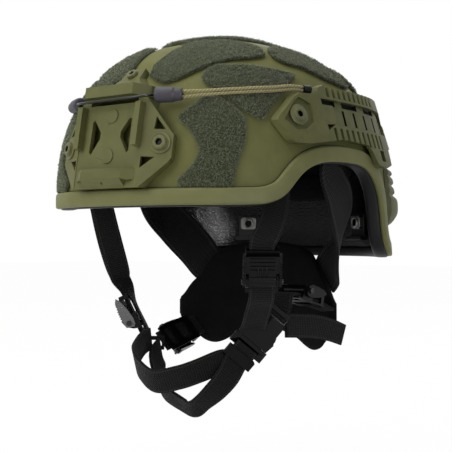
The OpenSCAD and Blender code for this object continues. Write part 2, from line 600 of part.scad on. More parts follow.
// Bungee: its hook, sleeves, cords and ferrules
// Point of the dome's front at the distance x from the middle
function in_front(x, z, off) =
  [x, -(half_length + off) * pow(pow(rise_factor(z, off), plan_power) - pow(abs(x) / (half_width + off),
    plan_power),
    1 / plan_power), z];
sleeve_end_left = in_front(54.5, shroud_z + 34.7, 8);
sleeve_end_right = in_front(-58.2, shroud_z + 33.7, 8.54);
ferrule_d = 6;
ferrule_z = rail_lobe_top + seat + ferrule_d / 2;
ferrule_at = rail_point(rail_angle(-45.3, ferrule_z, 2.535), ferrule_z, 2.535);
sleeve_heading = 26.6;
sleeve_dir = [cos(sleeve_heading), sin(sleeve_heading), 0];
// Points of the hook round the bar, from the middle of the shroud's face
hook_left = [[35.3, 6.6, 34.4], [34, 2.1, 33.6], [28, -1.7, 32.8], [16, -3.4, 32.4], [0, -3.9, 32.2]];
hook_right = [[-16, -3.4, 32.2], [-28, -1.7, 32.3], [-35.3, 2.4, 32.9], [-38.6, 7, 33.5]];
wire = concat([for (d = [8.7, 2, -0.2]) sleeve_end_left - (sleeve_len - d) * sleeve_dir],
  [for (p = concat(hook_left, hook_right)) [0, -shroud_reach, shroud_z] + p],
  [for (d = [-0.1, 2.3, 9]) sleeve_end_right - (sleeve_len - d) * mirrored(sleeve_dir)]);
// Way of a cord over the shell: plan angle, height, distance outside it, half the gap of its strands
way_start = [[-36.03, 86.1, 4.95, 1.3], [-41.78, 84.7, 5.44, 1.3], [-48, 83.45, 5.21, 1.35]];
way_left = concat(way_start, [[-53.88, 82.35, 5.29, 1.35], [-60.15, 81.25, 5.8, 1.45],
  [-64.7, 80.3, 7.92, 1.9]]);
way_right = concat(way_start, [[-53.88, 82.15, 5.21, 1.35], [-59.23, 80.65, 5.88, 1.45],
  [-63.19, 79.3, 8.61, 1.9]]);
function strand(way, up) = [for (w = way) let (p = on_dome(w[0], w[1], w[2])) [p.x, p.y, w[1] + up * w[3]]];
// Along the upper strand, round inside the sleeve and back along the lower one
function cord(way, end) = concat(
  [for (p = [[-1.1, -3.4, 1.3], [-4.9, -14.7, 1.3]]) ferrule_at + p], strand(way, 1),
  [for (p = [[0, 0, 2], [-1.3, -0.6, 1.4], [-1.8, -0.9, 0], [-1.3, -0.6, -1.4], [0, 0, -2]]) end + p],
  [for (i = [len(way) - 1:-1:0]) strand(way, -1)[i]],
  [for (p = [[-4.9, -14.7, -1.3], [-1.1, -3.4, -1.3]]) ferrule_at + p]);

module sleeve() difference() {
  union() {
    translate([0, 0, -sleeve_len]) cylinder(d1 = sleeve_d - 1.6, d2 = sleeve_d, h = 1.5);
    translate([0, 0, 1.5 - sleeve_len]) cylinder(d = sleeve_d, h = sleeve_len - 8.5);
    translate([0, 0, -7]) cylinder(d1 = sleeve_d, d2 = 9.4, h = 7);
  }
  translate([0, 0, -4.5]) cylinder(d = 7.6, h = 6);
  translate([0, 0, -sleeve_len - 1]) cylinder(d = hook_wire_d + 2 * gap, h = 12);
}
module bungee_sleeve_left() color(grey) translate(sleeve_end_left) rotate([0, 90, sleeve_heading]) sleeve();
module bungee_sleeve_right() color(grey) translate(sleeve_end_right) rotate([0, 90,
  180 - sleeve_heading]) sleeve();
module bungee_hook() color(grey) tube(spline(wire, 3), hook_wire_d, 8);
module bungee_left() color(tan_cord) 
  tube(spline(cord(way_left, sleeve_end_left), 2), bungee_d, 8, [0.7, -0.7, 0]);
module bungee_right() color(tan_cord) 
  tube(spline([for (p = cord(way_right, mirrored(sleeve_end_right))) mirrored(p)], 2), bungee_d, 8,
    [0.7, 0.7, 0]);
module bungee_ferrules() color(black) for (m = [0, 1]) mirror([m, 0, 0])
  translate(ferrule_at) rotate([0, 90, 71.6]) cylinder(d = ferrule_d, h = 7, center = true);

// Comfort pads
// Cushion on the inner wall: full in the middle, drawn in at its sides, with a channel across
module wall_pad(a0, a1, z0, z1, n = 6, channel = 0.16) {
  back = -shell_wall - 1.05;
  function soft(u, v) = pad_thick * (0.42
    + 0.58 * (1 - pow(u, 4)) * (1 - pow(v, 4)) - channel * exp(-pow(v / 0.16, 2)));
  function grid(face) = [for (r = [0:n]) [for (c = [0:n])
    let (u = 2 * c / n - 1, v = 2 * r / n - 1)
    on_dome(mix(a0, a1, 0.5 + u / 2 * (1 - 0.14 * pow(v, 4))),
      mix(z0, z1, 0.5 + v / 2 * (1 - 0.1 * pow(u, 4))), back - face * soft(u, v))]];
  slab(grid(0), grid(1));
}
module pad_front() color(black) wall_pad(-103, -77, 14, crown_height - 79.5);
module pad_rear() color(black) wall_pad(76, 104, 12, crown_height - 77.5);
module pad_front_left() color(black) wall_pad(-67, -44, 22, crown_height - 69.5);
module pad_front_right() color(black) mirror([1, 0, 0]) wall_pad(-67, -44, 22, crown_height - 69.5);
module pad_rear_left() color(black) wall_pad(13, 41, 50, crown_height - 45.5);
module pad_rear_right() color(black) mirror([1, 0, 0]) wall_pad(13, 41, 50, crown_height - 45.5);
module pad_crown() {
  n = 8;
  half_x = half_width - 76;
  half_y = half_length - 85;
  function grid(face) = [for (r = [0:n]) [for (c = [0:n])
    let (u = 2 * c / n - 1, v = 2 * r / n - 1, x = half_x * u * sqrt(1 - v * v / 2),
         y = half_y * v * sqrt(1 - u * u / 2),
         full = 0.42 + 0.58 * (1 - pow(max(abs(u), abs(v)), 4)) - 0.14 * exp(-pow(v / 0.14, 2)))
    crown_point(x, y, -shell_wall - 0.9 - face * pad_thick * full)]];
  color(black) slab(grid(0), grid(1));
}

// Anchor brackets of the harness
bracket_t = 1.6;
function inner_lean(a, z) =
  atan(plan_radius(a, -shell_wall) * (rise_factor(z - 6, -shell_wall) - rise_factor(z + 6,
    -shell_wall)) / 12);
function inner_turn(a, z) = [90 + inner_lean(a, z), 0, heading(a) - 90];
function inner_at(a, z) = on_dome(a, z, -shell_wall - 1.5);
function on_bracket(b, p) = placed(inner_at(b[0], b[1]), inner_turn(b[0], b[1]), p);
front_anchor = [-34, mix(arch_height, front_bolt[1], 0.5) - 3.95]; // half-way from the arch to the bolt
yoke_anchor = [-3, arch_height + 22.5];
far_yoke_anchor = [5, arch_height + 22.5]; // the harness hangs askew, so its right arm leaves further back
nape_anchor = [62, -12];
module bracket() {
  loop = webbing_w / 2 + 0.7; // half of the loop's opening
  difference() {
    union() {
      translate([-10, -13, 0]) cube([20, 23, bracket_t]);
      translate([-loop - 2.4, -13, 0]) cube([2 * loop + 4.8, 4, bracket_t]);
      translate([-7.5, -3, bracket_t - eps]) cube([15, 11.5, 3]);
    }
    translate([0, 3, -1]) cylinder(d = 8, h = 8);
  }
  for (x = [-loop - 2.4, loop]) translate([x, -13, 0]) cube([2.4, 3, 7]);
  translate([-loop - 2.4, -13, 5.2]) cube([2 * loop + 4.8, 3, 1.8]);
}
module at_inner(b) translate(inner_at(b[0], b[1])) rotate(inner_turn(b[0], b[1])) children();
module strap_brackets() color(steel) {
  for (b = [front_anchor, yoke_anchor, nape_anchor]) at_inner(b) bracket();
  for (b = [front_anchor, far_yoke_anchor, nape_anchor]) mirror([1, 0, 0]) at_inner(b) bracket();
}

// Cam adjusters: place and turn of each, with X along the pin and Y along the strap
place_front_left = [[89, -75, -46], [115, 0, 37.3]];
place_front_right = [[-82, -24, -88], [115.5, 0, -53]];
place_rear_left = [[71, 2, -75], [-14, 0, 0]];
place_rear_right = [[-61, 10, -107], [157, -52, 197.3]];
strap_rise = 3.2; // height of the strap's middle over the frame's back
pin_y = -6;
pin_z = 8.6;
frame_half = webbing_w / 2 + 2.5;
ear_t = 1.8;
lever_in = frame_half - ear_t - gap; // half widths of the lever, between the ears and over them
lever_out = frame_half + gap + 1.8;
module at_place(p) translate(p[0]) rotate(p[1]) children();
function via(p, y) = placed(p[0], p[1], [0, y, strap_rise]);
function wide(p) = placed([0, 0, 0], p[1], [1, 0, 0]);

module adjuster_frame() difference() {
  union() {
    translate([-frame_half, -adjuster_len / 2, 0]) cube([2 * frame_half, adjuster_len, 1.4]);
    for (x = [-frame_half, frame_half - ear_t]) translate([x, 0, 0]) rotate([90, 0,
      90]) linear_extrude(ear_t)
      polygon([[-14, 0], [1, 0], [0, 6], [-3, 11.4], [-9, 11.4], [-12, 7]]);
    for (x = [-frame_half, frame_half - ear_t]) translate([x, adjuster_len / 2 - 5, 0]) cube([ear_t, 4, 8]);
    translate([-frame_half, adjuster_len / 2 - 5, 6]) cube([2 * frame_half, 4, 2]);
  }
  translate([-8, -adjuster_len / 2 + 4, -1]) cube([16, 7, 4]);
  translate([-8, 0, -1]) cube([16, adjuster_len / 2 - 8, 4]);
  translate([-20, pin_y, pin_z]) rotate([0, 90, 0]) cylinder(d = pin_d + 0.04, h = 40);
}
module adjuster_lever() difference() {
  union() {
    translate([-lever_in, pin_y, pin_z]) rotate([0, 90, 0]) cylinder(r = 3.9, h = 2 * lever_in);
    translate([-lever_in, pin_y, pin_z + 0.6]) cube([2 * lever_in, 9, 3]);
    translate([-lever_out, 2, 10.6]) cube([2 * lever_out, 13.5, 1.6]);
    for (y = [4:3:13]) translate([-9, y, 12]) cube([18, 1.2, 1]);
    for (x = [-lever_out, lever_out - 1.8]) translate([x, 0, 0]) rotate([90, 0, 90]) linear_extrude(1.8)
      polygon([[-10.5, 5.5], [-9, 12], [-3, 14], [7, 13.8], [14, 12.6], [18, 10.4], [14, 7.6], [6, 5],
        [-3, 3.4], [-8.6, 3.8]]);
  }
  for (x = [0.9 - lever_out, lever_out - 0.9],
    y = [-1:2.2:12]) translate([x, y, 14 - max(y - 5, 0) * 0.14]) rotate([45, 0,
    0]) cube([3, 1.3, 1.3], center = true);
  translate([-20, pin_y, pin_z]) rotate([0, 90, 0]) cylinder(d = pin_d + 2 * pin_clear, h = 40);
}
module adjuster_pin() translate([0, pin_y, pin_z]) rotate([0, 90, 0]) {
  cylinder(d = pin_d, h = 2 * lever_out + 0.8, center = true);
  for (z = [lever_out + 0.2, -lever_out - 1.2]) translate([0, 0, z]) cylinder(d = pin_d + 1.6, h = 1);
}
module adjuster_frame_front_left() color(black) at_place(place_front_left) adjuster_frame();
module adjuster_frame_front_right() color(black) at_place(place_front_right) adjuster_frame();
module adjuster_frame_rear_left() color(black) at_place(place_rear_left) adjuster_frame();
module adjuster_frame_rear_right() color(black) at_place(place_rear_right) adjuster_frame();
module adjuster_lever_front_left() color(black) at_place(place_front_left) adjuster_lever();
module adjuster_lever_front_right() color(grey) at_place(place_front_right) adjuster_lever();
module adjuster_lever_rear_left() color(black) at_place(place_rear_left) adjuster_lever();
module adjuster_lever_rear_right() color(black) at_place(place_rear_right) adjuster_lever();
module adjuster_pins() color(steel)
  for (p = [place_front_left, place_front_right, place_rear_left,
    place_rear_right]) at_place(p) adjuster_pin();

// Side-release buckle: mouth of the socket at its frame's origin, socket along +Y, plug along -Y
buckle_place = [[59.6, -46.8, -103.4], [90, 40, 37.3]];
function on_buckle(p) = placed(buckle_place[0], buckle_place[1], p);
function buckle_dir(p) = placed([0, 0, 0], buckle_place[1], p);
loop_y = socket_len + 1;
plate_t = 1.5;
wall_x = buckle_w / 2;
prong_pivot = 7;
module at_buckle() at_place(buckle_place) children();

module buckle_socket() color(black) at_buckle() {
  difference() {
    translate([0, 0, -buckle_t / 2]) linear_extrude(buckle_t)
      polygon([[-wall_x - 0.4, 0], [wall_x + 0.4, 0], [wall_x + 1.6, 8], [wall_x - 0.6, 11.6],
        [wall_x - 0.6, socket_len - 4],
        [wall_x - 2, socket_len], [2 - wall_x, socket_len], [0.6 - wall_x, socket_len - 4],
          [0.6 - wall_x, 11.6], [-wall_x - 1.6, 8]]);
    // cavity, and side windows open to the mouth
    translate([-wall_x + 2.4, -1, plate_t - buckle_t / 2]) cube([buckle_w - 4.8, 19,
      buckle_t - 2 * plate_t]);
    for (m = [0, 1]) mirror([m, 0, 0]) translate([prong_pivot + 1, -1, plate_t - buckle_t / 2]) cube([20,
      16, buckle_t - 2 * plate_t]);
    translate([-wall_x - 5, 11.8, buckle_t / 2 - 0.9]) cube([wall_x + 5.6, 40, 3]);
  }
  // strap loop
  difference() {
    translate([-webbing_w / 2 - 1.5, socket_len - 1, -2]) cube([webbing_w + 3, 9, 4]);
    translate([-webbing_w / 2 - 0.4, loop_y + 0.4, -4]) cube([webbing_w + 0.8, 3.4, 8]);
  }
}
module buckle_plug() color(black) at_buckle() difference() {
  union() {
    translate([-15, -9.4, -2.2]) cube([30, 9, 4.4]);
    translate([-13.4, -3.4, -2.5]) cube([26.8, 3, 5]);
    translate([-2, -1, -2.2]) cube([4, 15, 4.4]);
    for (m = [0, 1]) mirror([m, 0, 0]) translate([2, -1, -2.2]) cube([prong_pivot, 2.6, 4.4]);
  }
  translate([-webbing_w / 2 - 0.4, -6.7, -4]) cube([webbing_w + 0.8, 3.1, 8]);
  for (m = [0, 1]) mirror([m, 0, 0]) translate([prong_pivot, 2.6, -4]) cylinder(d = 3.3, h = 8);
}
module buckle_prong() difference() {
  union() {
    translate([prong_pivot, 2.6, -2.2]) cylinder(d = 2.9, h = 4.4);
    translate([0, 0, -2.2]) linear_extrude(4.4)
      polygon([[prong_pivot - 0.7, 2.8], [prong_pivot + 0.9, 2.6], [10.4, 6], [13.6, 7], [13.9, 11],
        [12.9, 14], [10.6, 14], [10.2, 12.4], [prong_pivot - 0.5, 7]]);
  }
  translate([8.4, 9.6, -4]) cylinder(d = 0.01, h = 0.01);
}
module buckle_prong_front() color(black) at_buckle() buckle_prong();
module buckle_prong_rear() color(black) at_buckle() mirror([1, 0, 0]) buckle_prong();

// Harness webbing
function tangent(b) = placed([0, 0, 0], inner_turn(b[0], b[1]), [-1, 0, 0]);
front_top = [for (y = [-5, -11, -16]) [on_bracket(front_anchor, [0, y, 3.5]), tangent(front_anchor)]];
module front_strap_left() color(black) webbing(concat(front_top, [
  [on_dome(-34.7, 12, -13.71), [0.52, 0.85, 0]], [on_dome(-36.82, -10, -9.39), [0.7, 0.7, 0]],
  [via(place_front_left, adjuster_len / 2 + 2), wide(place_front_left)],
    [via(place_front_left, 0), wide(place_front_left)],
  [via(place_front_left, -adjuster_len / 2 - 2), wide(place_front_left)],
  [[78, -63, -75.5], [0.795, 0.606, 0]], [[71, -57.5, -84.5], [0.795, 0.606, 0]],
    [on_buckle([-6.2, 9, 5.8]), [0.795, 0.606, 0]]]));
module front_strap_right() color(black) webbing(concat([for (s = front_top) [mirrored(s[0]),
  mirrored(s[1])]], [
  [mirrored(on_dome(-32.43, 22, -16.86)), [-0.45, 0.89, 0]],
    [mirrored(on_dome(-24.27, 2, -15.89)), [-0.3, 0.95, 0]],
  [mirrored(on_dome(-21.4, -16, -19.8)), [-0.4, 0.9, 0]],
    [mirrored(on_dome(-20.03, -34, -24.72)), [-0.5, 0.85, 0]],
  [[-93.5, -33, -52], [-0.6, 0.8, 0]],
  [via(place_front_right, adjuster_len / 2 + 2), -wide(place_front_right)],
    [via(place_front_right, 0), -wide(place_front_right)],
  [via(place_front_right, -21), -wide(place_front_right)]]));
function hung(b) = [for (y = [-5, -11, -16]) [on_bracket(b, [0, y, 3.5]), tangent(b), 1]];
module nape_arm_left() color(black) webbing(concat(hung(yoke_anchor), [
  [on_dome(-3.26, 28, -15.43), [0, 1, 0.1], 1.5], [on_dome(5.47, 8, -17.35), [-0.05, 0.95, 0.25], 2],
  [on_dome(14.86, -13, -22.99), [-0.15, 0.8, 0.5], 2.1],
    [on_dome(23.28, -34, -34.07), [-0.35, 0.6, 0.7], 2],
  [[72.5, 46.9, -48.3], [-0.57, 0.2, 0.79], 1.9], [[64.5, 52.1, -56.5], [-0.57, 0.165, 0.8], 1.8]]));
module nape_arm_right() color(black) mirror([1, 0, 0]) webbing(concat(hung(far_yoke_anchor), [
  [on_dome(7.98, 28, -13.72), [0, 0.9, 0.3], 1.5], [on_dome(15.3, 7, -14.67), [-0.05, 0.85, 0.5], 2],
  [on_dome(25.74, -15, -20.08), [-0.3, 0.7, 0.6], 2.1], [on_dome(34.66, -36, -33.81), [-0.5, 0.4, 0.75], 2],
  [[69, 56, -44.5], [-0.5, 0.2, 0.85], 1.9], [[57, 54.9, -53], [-0.5, 0.132, 0.85], 1.8]]));

// Nape pad: columns of [distance from the middle, foot, top]
nape_columns = [[0, -102, -26], [15, -105, -27], [30, -109, -29], [45, -117, -33], [55, -119, -39],
  [65, -115, -54], [73, -105, -64],
  [79, -99, -74], [84, -93, -80]];
module nape_pad() {
  last = len(nape_columns) - 1;
  n = 6;
  function column(k) = nape_columns[abs(k)];
  function at(k, r, face) =
    let (c = column(k), x = -sign(k) * c[0], v = 2 * r / n - 1, edge = 1 - pow(abs(k) / last, 6),
         soft = nape_thick * (0.4 + 0.6 * (1 - pow(v, 4)) * edge - (abs(k) == 3 ? 0.15 : 0)))
    [x, 60 - 20 * pow(x / 80, 2) + face * soft / 2, mix(c[1], c[2], r / n)];
  color(black) slab([for (r = [0:n]) [for (k = [-last:last]) at(k, r, 1)]],
    [for (r = [0:n]) [for (k = [-last:last]) at(k, r, -1)]]);
}
chin_x = buckle_dir([1, 0, 0]);
module rear_strap_left() color(black) {
  webbing([[on_buckle([0, loop_y + 2.1, 3.2]), chin_x], [on_buckle([0, loop_y + 2.1, -1]), chin_x],
    [on_buckle([0, loop_y + 2.4, -4.4]), chin_x],
    [on_buckle([0.5, loop_y + 6, -8]), chin_x], [[71.3, -23, -70.5], [1, 0.1, 0]],
    [via(place_rear_left, -adjuster_len / 2), [1, 0, 0]], [via(place_rear_left, 0), [1, 0, 0]],
      [via(place_rear_left, adjuster_len / 2 + 1), [1, 0, 0]], [[77, 36, -83], [1, -0.2, 0]]]);
  webbing([[[74, -22, -95], [-0.1, 0.1, 1]], [[80, 8, -96], [0, 0, 1]], [[85.5, 36, -95], [0, 0, 1]]]);
}
module rear_strap_right() color(black)
  webbing([[via(place_rear_right, -21.8), wide(place_rear_right)],
    [via(place_rear_right, 0), wide(place_rear_right)],
    [via(place_rear_right, adjuster_len / 2 + 1), wide(place_rear_right)],
      [via(place_rear_right, adjuster_len / 2 + 10), wide(place_rear_right)]]);
module chin_strap_upper() color(black) webbing([[on_buckle([0, -5.1, 1.4]), chin_x],
  [on_buckle([0, -5.15, -1.6]), chin_x], [on_buckle([0, -5.8, -3.6]), chin_x],
    [on_buckle([0, -8, -4.4]), chin_x],
  [on_buckle([0, -12.5, -4.1]), chin_x], [on_buckle([0, -20.5, -3.2]), chin_x],
    [[44, -66, -122], [0.3, 0.5, -0.8]], [[33, -82, -129], [0.1, 0.4, -0.9]],
  [[22, -91, -132], [0, 0.3, -0.95]], [[4, -97, -133], [0, 0.3, -0.95]],
    [[-15, -93, -126], [0, 0.3, -0.95]], [[-32, -80, -120], [0, 0.3, -0.95]],
  [[-48, -60, -117], [0, 0.3, -0.95]], [[-60, -40, -113], [0, 0.3, -0.95]],
    [[-68.3, -21.1, -111], [0, 0.2, -0.95]]]);
module chin_strap_lower() color(black) webbing([[on_buckle([0, -5, 3.9]), chin_x],
  [on_buckle([0, -11, 3.9]), chin_x], [on_buckle([0, -20, 3.6]), chin_x],
  [on_buckle([2, -31, 9]), [0.4, 0.5, -0.7]], [[45, -73, -140], [0.2, 0.5, -0.8]],
    [[33, -76, -149], [0.1, 0.5, -0.85]],
  [[12, -77, -151.5], [0, 0.4, -0.9]], [[-10, -70, -147], [0, 0.4, -0.9]],
    [[-30, -56, -139], [0, 0.3, -0.95]], [[-45, -38, -130], [0, 0.3, -0.95]],
  [[-54, -27, -124], [0, 0.2, -0.95]], [[-62, -15.6, -119.5], [0, 0.2, -0.95]]]);
module strap_keeper() color(black) at_buckle() difference() {
  translate([-webbing_w / 2 - 2.7, -19.5, -7.4]) cube([webbing_w + 5.4, 8, 14.8]);
  translate([-webbing_w / 2 - 1.1, -25, -6]) cube([webbing_w + 2.2, 20, 12]);
}
link_place = [[-70, -19, -114.95], [90, 0, 37.3]];
module chin_link() color(black) at_place(link_place) difference() {
  translate([-webbing_w / 2 - 2.5, -6, -1.5]) cube([webbing_w + 5, 12, 3]);
  translate([-webbing_w / 2 - 0.3, -2.5, -3]) cube([webbing_w + 0.6, 5, 6]);
}

shell();
rim_band();
edge_seal();
nvg_shroud();
shroud_screws();
rail_left();
rail_right();
rail_screws();
mount_nuts();
nape_guard();
patch_crown();
patch_front_left();
patch_front_right();
patch_upper_left();
patch_upper_right();
patch_temple_left();
patch_temple_right();
patch_side_left();
patch_side_right();
patch_rear_left();
patch_rear_right();
bungee_left();
bungee_right();
bungee_sleeve_left();
bungee_sleeve_right();
bungee_hook();
bungee_ferrules();
pad_crown();
pad_front();
pad_rear();
pad_front_left();
pad_front_right();
pad_rear_left();
pad_rear_right();
strap_brackets();
front_strap_left();
front_strap_right();
nape_arm_left();
nape_arm_right();
nape_pad();
rear_strap_left();
rear_strap_right();
chin_strap_upper();
chin_strap_lower();
strap_keeper();
adjuster_frame_front_left();
adjuster_frame_front_right();
adjuster_frame_rear_left();
adjuster_frame_rear_right();
adjuster_lever_front_left();
adjuster_lever_front_right();
adjuster_lever_rear_left();
adjuster_lever_rear_right();
adjuster_pins();
buckle_socket();
buckle_plug();
buckle_prong_front();
buckle_prong_rear();
chin_link();
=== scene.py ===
# %% [markdown]
# # A combat helmet, dressed for the camera
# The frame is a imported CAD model: a shell with ear arches, a front shroud, side rails,
# loop patches, a bungee with its hook, and a chin harness. This file keeps every hard
# piece where the frame has it and gives it softened edges, remakes the curved and the
# soft pieces as smooth surfaces worked out with numpy, and gives each one a material
# built from nodes. All sizes below are in millimetres until the last moment.

# %% Load the frame
import json
import math
import bmesh
import bpy
import numpy as np
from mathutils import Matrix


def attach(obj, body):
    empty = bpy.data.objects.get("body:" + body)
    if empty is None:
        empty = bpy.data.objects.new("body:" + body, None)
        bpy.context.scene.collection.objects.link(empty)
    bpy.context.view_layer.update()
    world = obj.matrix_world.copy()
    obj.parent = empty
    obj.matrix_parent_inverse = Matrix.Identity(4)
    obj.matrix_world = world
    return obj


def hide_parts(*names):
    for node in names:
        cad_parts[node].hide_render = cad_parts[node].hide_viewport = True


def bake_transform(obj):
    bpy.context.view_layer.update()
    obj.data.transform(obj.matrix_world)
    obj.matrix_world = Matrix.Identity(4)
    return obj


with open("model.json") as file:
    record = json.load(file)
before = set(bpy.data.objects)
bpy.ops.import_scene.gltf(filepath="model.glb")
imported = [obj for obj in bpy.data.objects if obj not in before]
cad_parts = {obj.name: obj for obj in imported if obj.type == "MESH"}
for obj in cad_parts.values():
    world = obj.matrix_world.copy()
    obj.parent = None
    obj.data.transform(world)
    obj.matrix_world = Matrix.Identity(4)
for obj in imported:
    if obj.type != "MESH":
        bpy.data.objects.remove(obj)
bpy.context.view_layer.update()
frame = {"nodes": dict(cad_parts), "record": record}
MM = 0.001

# %% [markdown]
# ## Tools for surfaces
# A surface is a grid of points: rows run upwards and columns to the right, seen from
# outside. A slab closes two such grids, one over the other, with walls round its sides.
# A loft joins a list of sections and closes its two ends, or runs round as a ring.
# Building the face numbers as whole arrays is quicker than adding faces one by one.


# %% Grids of faces
def grid_faces(rows, cols, ring_cols=False, ring_rows=False):
    """Quads of a grid: corner (r, c), then the next column, the next row, and back."""
    r = np.arange(rows if ring_rows else rows - 1)[:, None]
    c = np.arange(cols if ring_cols else cols - 1)[None, :]
    r2, c2 = (r + 1) % rows, (c + 1) % cols
    quads = [r * cols + c, r * cols + c2, r2 * cols + c2, r2 * cols + c]
    return np.stack([q + 0 * r + 0 * c for q in quads], -1).reshape(-1, 4)


def strip(a, b):
    """Quads between two equally long runs of vertex numbers."""
    return np.stack([a[:-1], a[1:], b[1:], b[:-1]], -1)


def new_piece(name, points, faces, uv=None):
    """Mesh object from points in mm, a list of faces, and one UV pair for each point."""
    mesh = bpy.data.meshes.new(name)
    mesh.from_pydata((np.asarray(points, float).reshape(-1, 3) * MM).tolist(), [], faces)
    mesh.polygons.foreach_set("use_smooth", [True] * len(mesh.polygons))
    if uv is not None:
        corner = np.empty(len(mesh.loops), int)
        mesh.loops.foreach_get("vertex_index", corner)
        layer = mesh.uv_layers.new(name="cloth")
        layer.data.foreach_set("uv", np.asarray(uv, float).reshape(-1, 2)[corner].ravel())
    piece = bpy.data.objects.new(name, mesh)
    bpy.context.scene.collection.objects.link(piece)
    return piece


def face_outwards(piece):
    """Turns the faces of a closed body over if its volume, the sum of a third of each
    face's area times its middle along its normal, comes out below zero."""
    count = len(piece.data.polygons)
    middle, normal, area = np.empty((count, 3)), np.empty((count, 3)), np.empty(count)
    for key, values in (("center", middle), ("normal", normal), ("area", area)):
        piece.data.polygons.foreach_get(key, values.reshape(-1))
    if (area * (middle * normal).sum(1)).sum() < 0:
        piece.data.flip_normals()
    return piece


def slab_faces(rows, cols):
    """Faces of an outer grid, of an inner one turned over, and of a wall on each side."""
    n = rows * cols
    o = np.arange(n).reshape(rows, cols)
    i = o + n
    skin = grid_faces(rows, cols)
    walls = [strip(o[0][::-1], i[0][::-1]), strip(o[-1], i[-1]),
             strip(o[:, 0], i[:, 0]), strip(o[::-1, -1], i[::-1, -1])]
    return np.concatenate([skin, skin[:, ::-1] + n, *walls])


def slab(name, outer, inner):
    """Closed body between two grids."""
    faces = slab_faces(*outer.shape[:2]).tolist()
    return face_outwards(new_piece(name, np.concatenate([outer, inner]), faces))


def loft(name, sections, ring=False, uv=None):
    """Closed body along sections of equal length; a ring has no ends."""
    n, m = sections.shape[:2]
    faces = grid_faces(n, m, ring_cols=True, ring_rows=ring).tolist()
    if not ring:
        faces += [list(range(m))[::-1], list(range(n * m - m, n * m))]
    return face_outwards(new_piece(name, sections, faces, uv))


def also(piece, material, marked):
    """Adds one more material to a piece, for the faces that are marked."""
    piece.data.materials.append(material)
    piece.data.polygons.foreach_set("material_index", np.asarray(marked).astype(int))


# %% Smooth curves through points
def spline(points, steps):
    """Catmull-Rom curve: each stretch is a cubic whose ends lean along their neighbours."""
    p = np.asarray(points, float)
    p = p[:, None] if p.ndim == 1 else p
    n = len(p)
    i = np.repeat(np.arange(n - 1), steps)
    t = np.tile(np.arange(steps) / steps, n - 1)[:, None]
    a, b, c, d = p[np.maximum(i - 1, 0)], p[i], p[i + 1], p[np.minimum(i + 2, n - 1)]
    q = 0.5 * (2 * b + (c - a) * t + (2 * a - 5 * b + 4 * c - d) * t**2
               + (3 * b - a - 3 * c + d) * t**3)
    return np.concatenate([q, p[-1:]])


def unit(v):
    return v / np.linalg.norm(v, axis=-1, keepdims=True)


def along(p):
    """Direction of a run of points at each of them."""
    return unit(np.concatenate([p[1:], p[-1:]]) - np.concatenate([p[:1], p[:-1]]))


def run_length(p, axis=0):
    """Distance from the first point to each point, along the run."""
    step = np.linalg.norm(np.diff(p, axis=axis), axis=-1)
    zero = np.zeros_like(np.take(step, [0], axis))
    return np.concatenate([zero, np.cumsum(step, axis)], axis)


# %% Turned places and turned parts
def turned(turn, p):
    """Points turned about X, then Y, then Z, by the given angles."""
    a, b, c = np.radians(turn)
    x = np.array([[1, 0, 0], [0, math.cos(a), -math.sin(a)], [0, math.sin(a), math.cos(a)]])
    y = np.array([[math.cos(b), 0, math.sin(b)], [0, 1, 0], [-math.sin(b), 0, math.cos(b)]])
    z = np.array([[math.cos(c), -math.sin(c), 0], [math.sin(c), math.cos(c), 0], [0, 0, 1]])
    return np.asarray(p, float) @ (z @ y @ x).T


def placed(place, p):
    return np.array(place[0], float) + turned(place[1], p)


def sided(points, mirror_x):
    """Points made for the left side, as they are or as their mirror image."""
    return points * [-1, 1, 1] if mirror_x else points


SIDES = 48


def lathe(name, where, profile, mirror_x=False):
    """Profile turned about an axis: rows of radius, height and squeeze, from the foot's
    middle out and up to the top's middle. A squeeze of 1 makes the circle a hexagon: its
    radius is the flat's, over the cosine of the angle to the nearest flat."""
    k = 2 * math.pi * np.arange(SIDES)[None] / SIDES
    r, h, six = np.asarray(profile, float).T[:, :, None]
    flat = math.cos(math.pi / 6) / np.cos(k % (math.pi / 3) - math.pi / 6)
    r = r * (1 + six * (flat - 1))
    ring = where(np.stack([r * np.cos(k), r * np.sin(k), h + 0 * k], -1))
    piece = loft(name, sided(ring, mirror_x))
    piece.data.set_sharp_from_angle(angle=math.radians(40))
    return piece


# %% [markdown]
# ## The dome
# The shell follows one formula in the CAD model, and the same one is used here, so that
# everything that lies on the shell stays on it. Seen from above the outline is a
# superellipse, rounder than a rectangle and fuller than an ellipse, and the rise to the
# crown is another. A plan angle, a height and a distance off the shell give one point.

# %% Formula of the dome
HALF_WIDTH, HALF_LENGTH, CROWN = 122.0, 139.0, 139.5
PLAN_POWER, RISE_POWER = 2.43, 2.5
WALL, ARCH, NAPE = 8.0, 34.5, 39.0
# the nape flares out from this height down to its lowest edge, and by this much there
FLARE_FROM, NAPE_FLARE = -5, 1.4


def plan_radius(a, off):
    """Radius at a plan angle: one over the power mean of cosine and sine over the half axes."""
    a = np.radians(a)
    x = np.abs(np.cos(a)) / (HALF_WIDTH + off)
    y = np.abs(np.sin(a)) / (HALF_LENGTH + off)
    return (x**PLAN_POWER + y**PLAN_POWER) ** (-1 / PLAN_POWER)


def on_dome(a, z, off):
    """Plan radius, shrunk as the height nears the crown, and flared out below the brow."""
    a, z, off = np.broadcast_arrays(*(np.asarray(v, float) for v in (a, z, off)))
    up = np.clip(1 - (np.maximum(z, 0) / (CROWN + off)) ** RISE_POWER, 0, 1)
    flare_share = (FLARE_FROM - z) / (NAPE + FLARE_FROM)
    flare = np.where(z < FLARE_FROM, NAPE_FLARE * flare_share**2, 0)
    r = plan_radius(a, off) * up ** (1 / RISE_POWER) + flare
    return np.stack([r * np.cos(np.radians(a)), r * np.sin(np.radians(a)), z], -1)


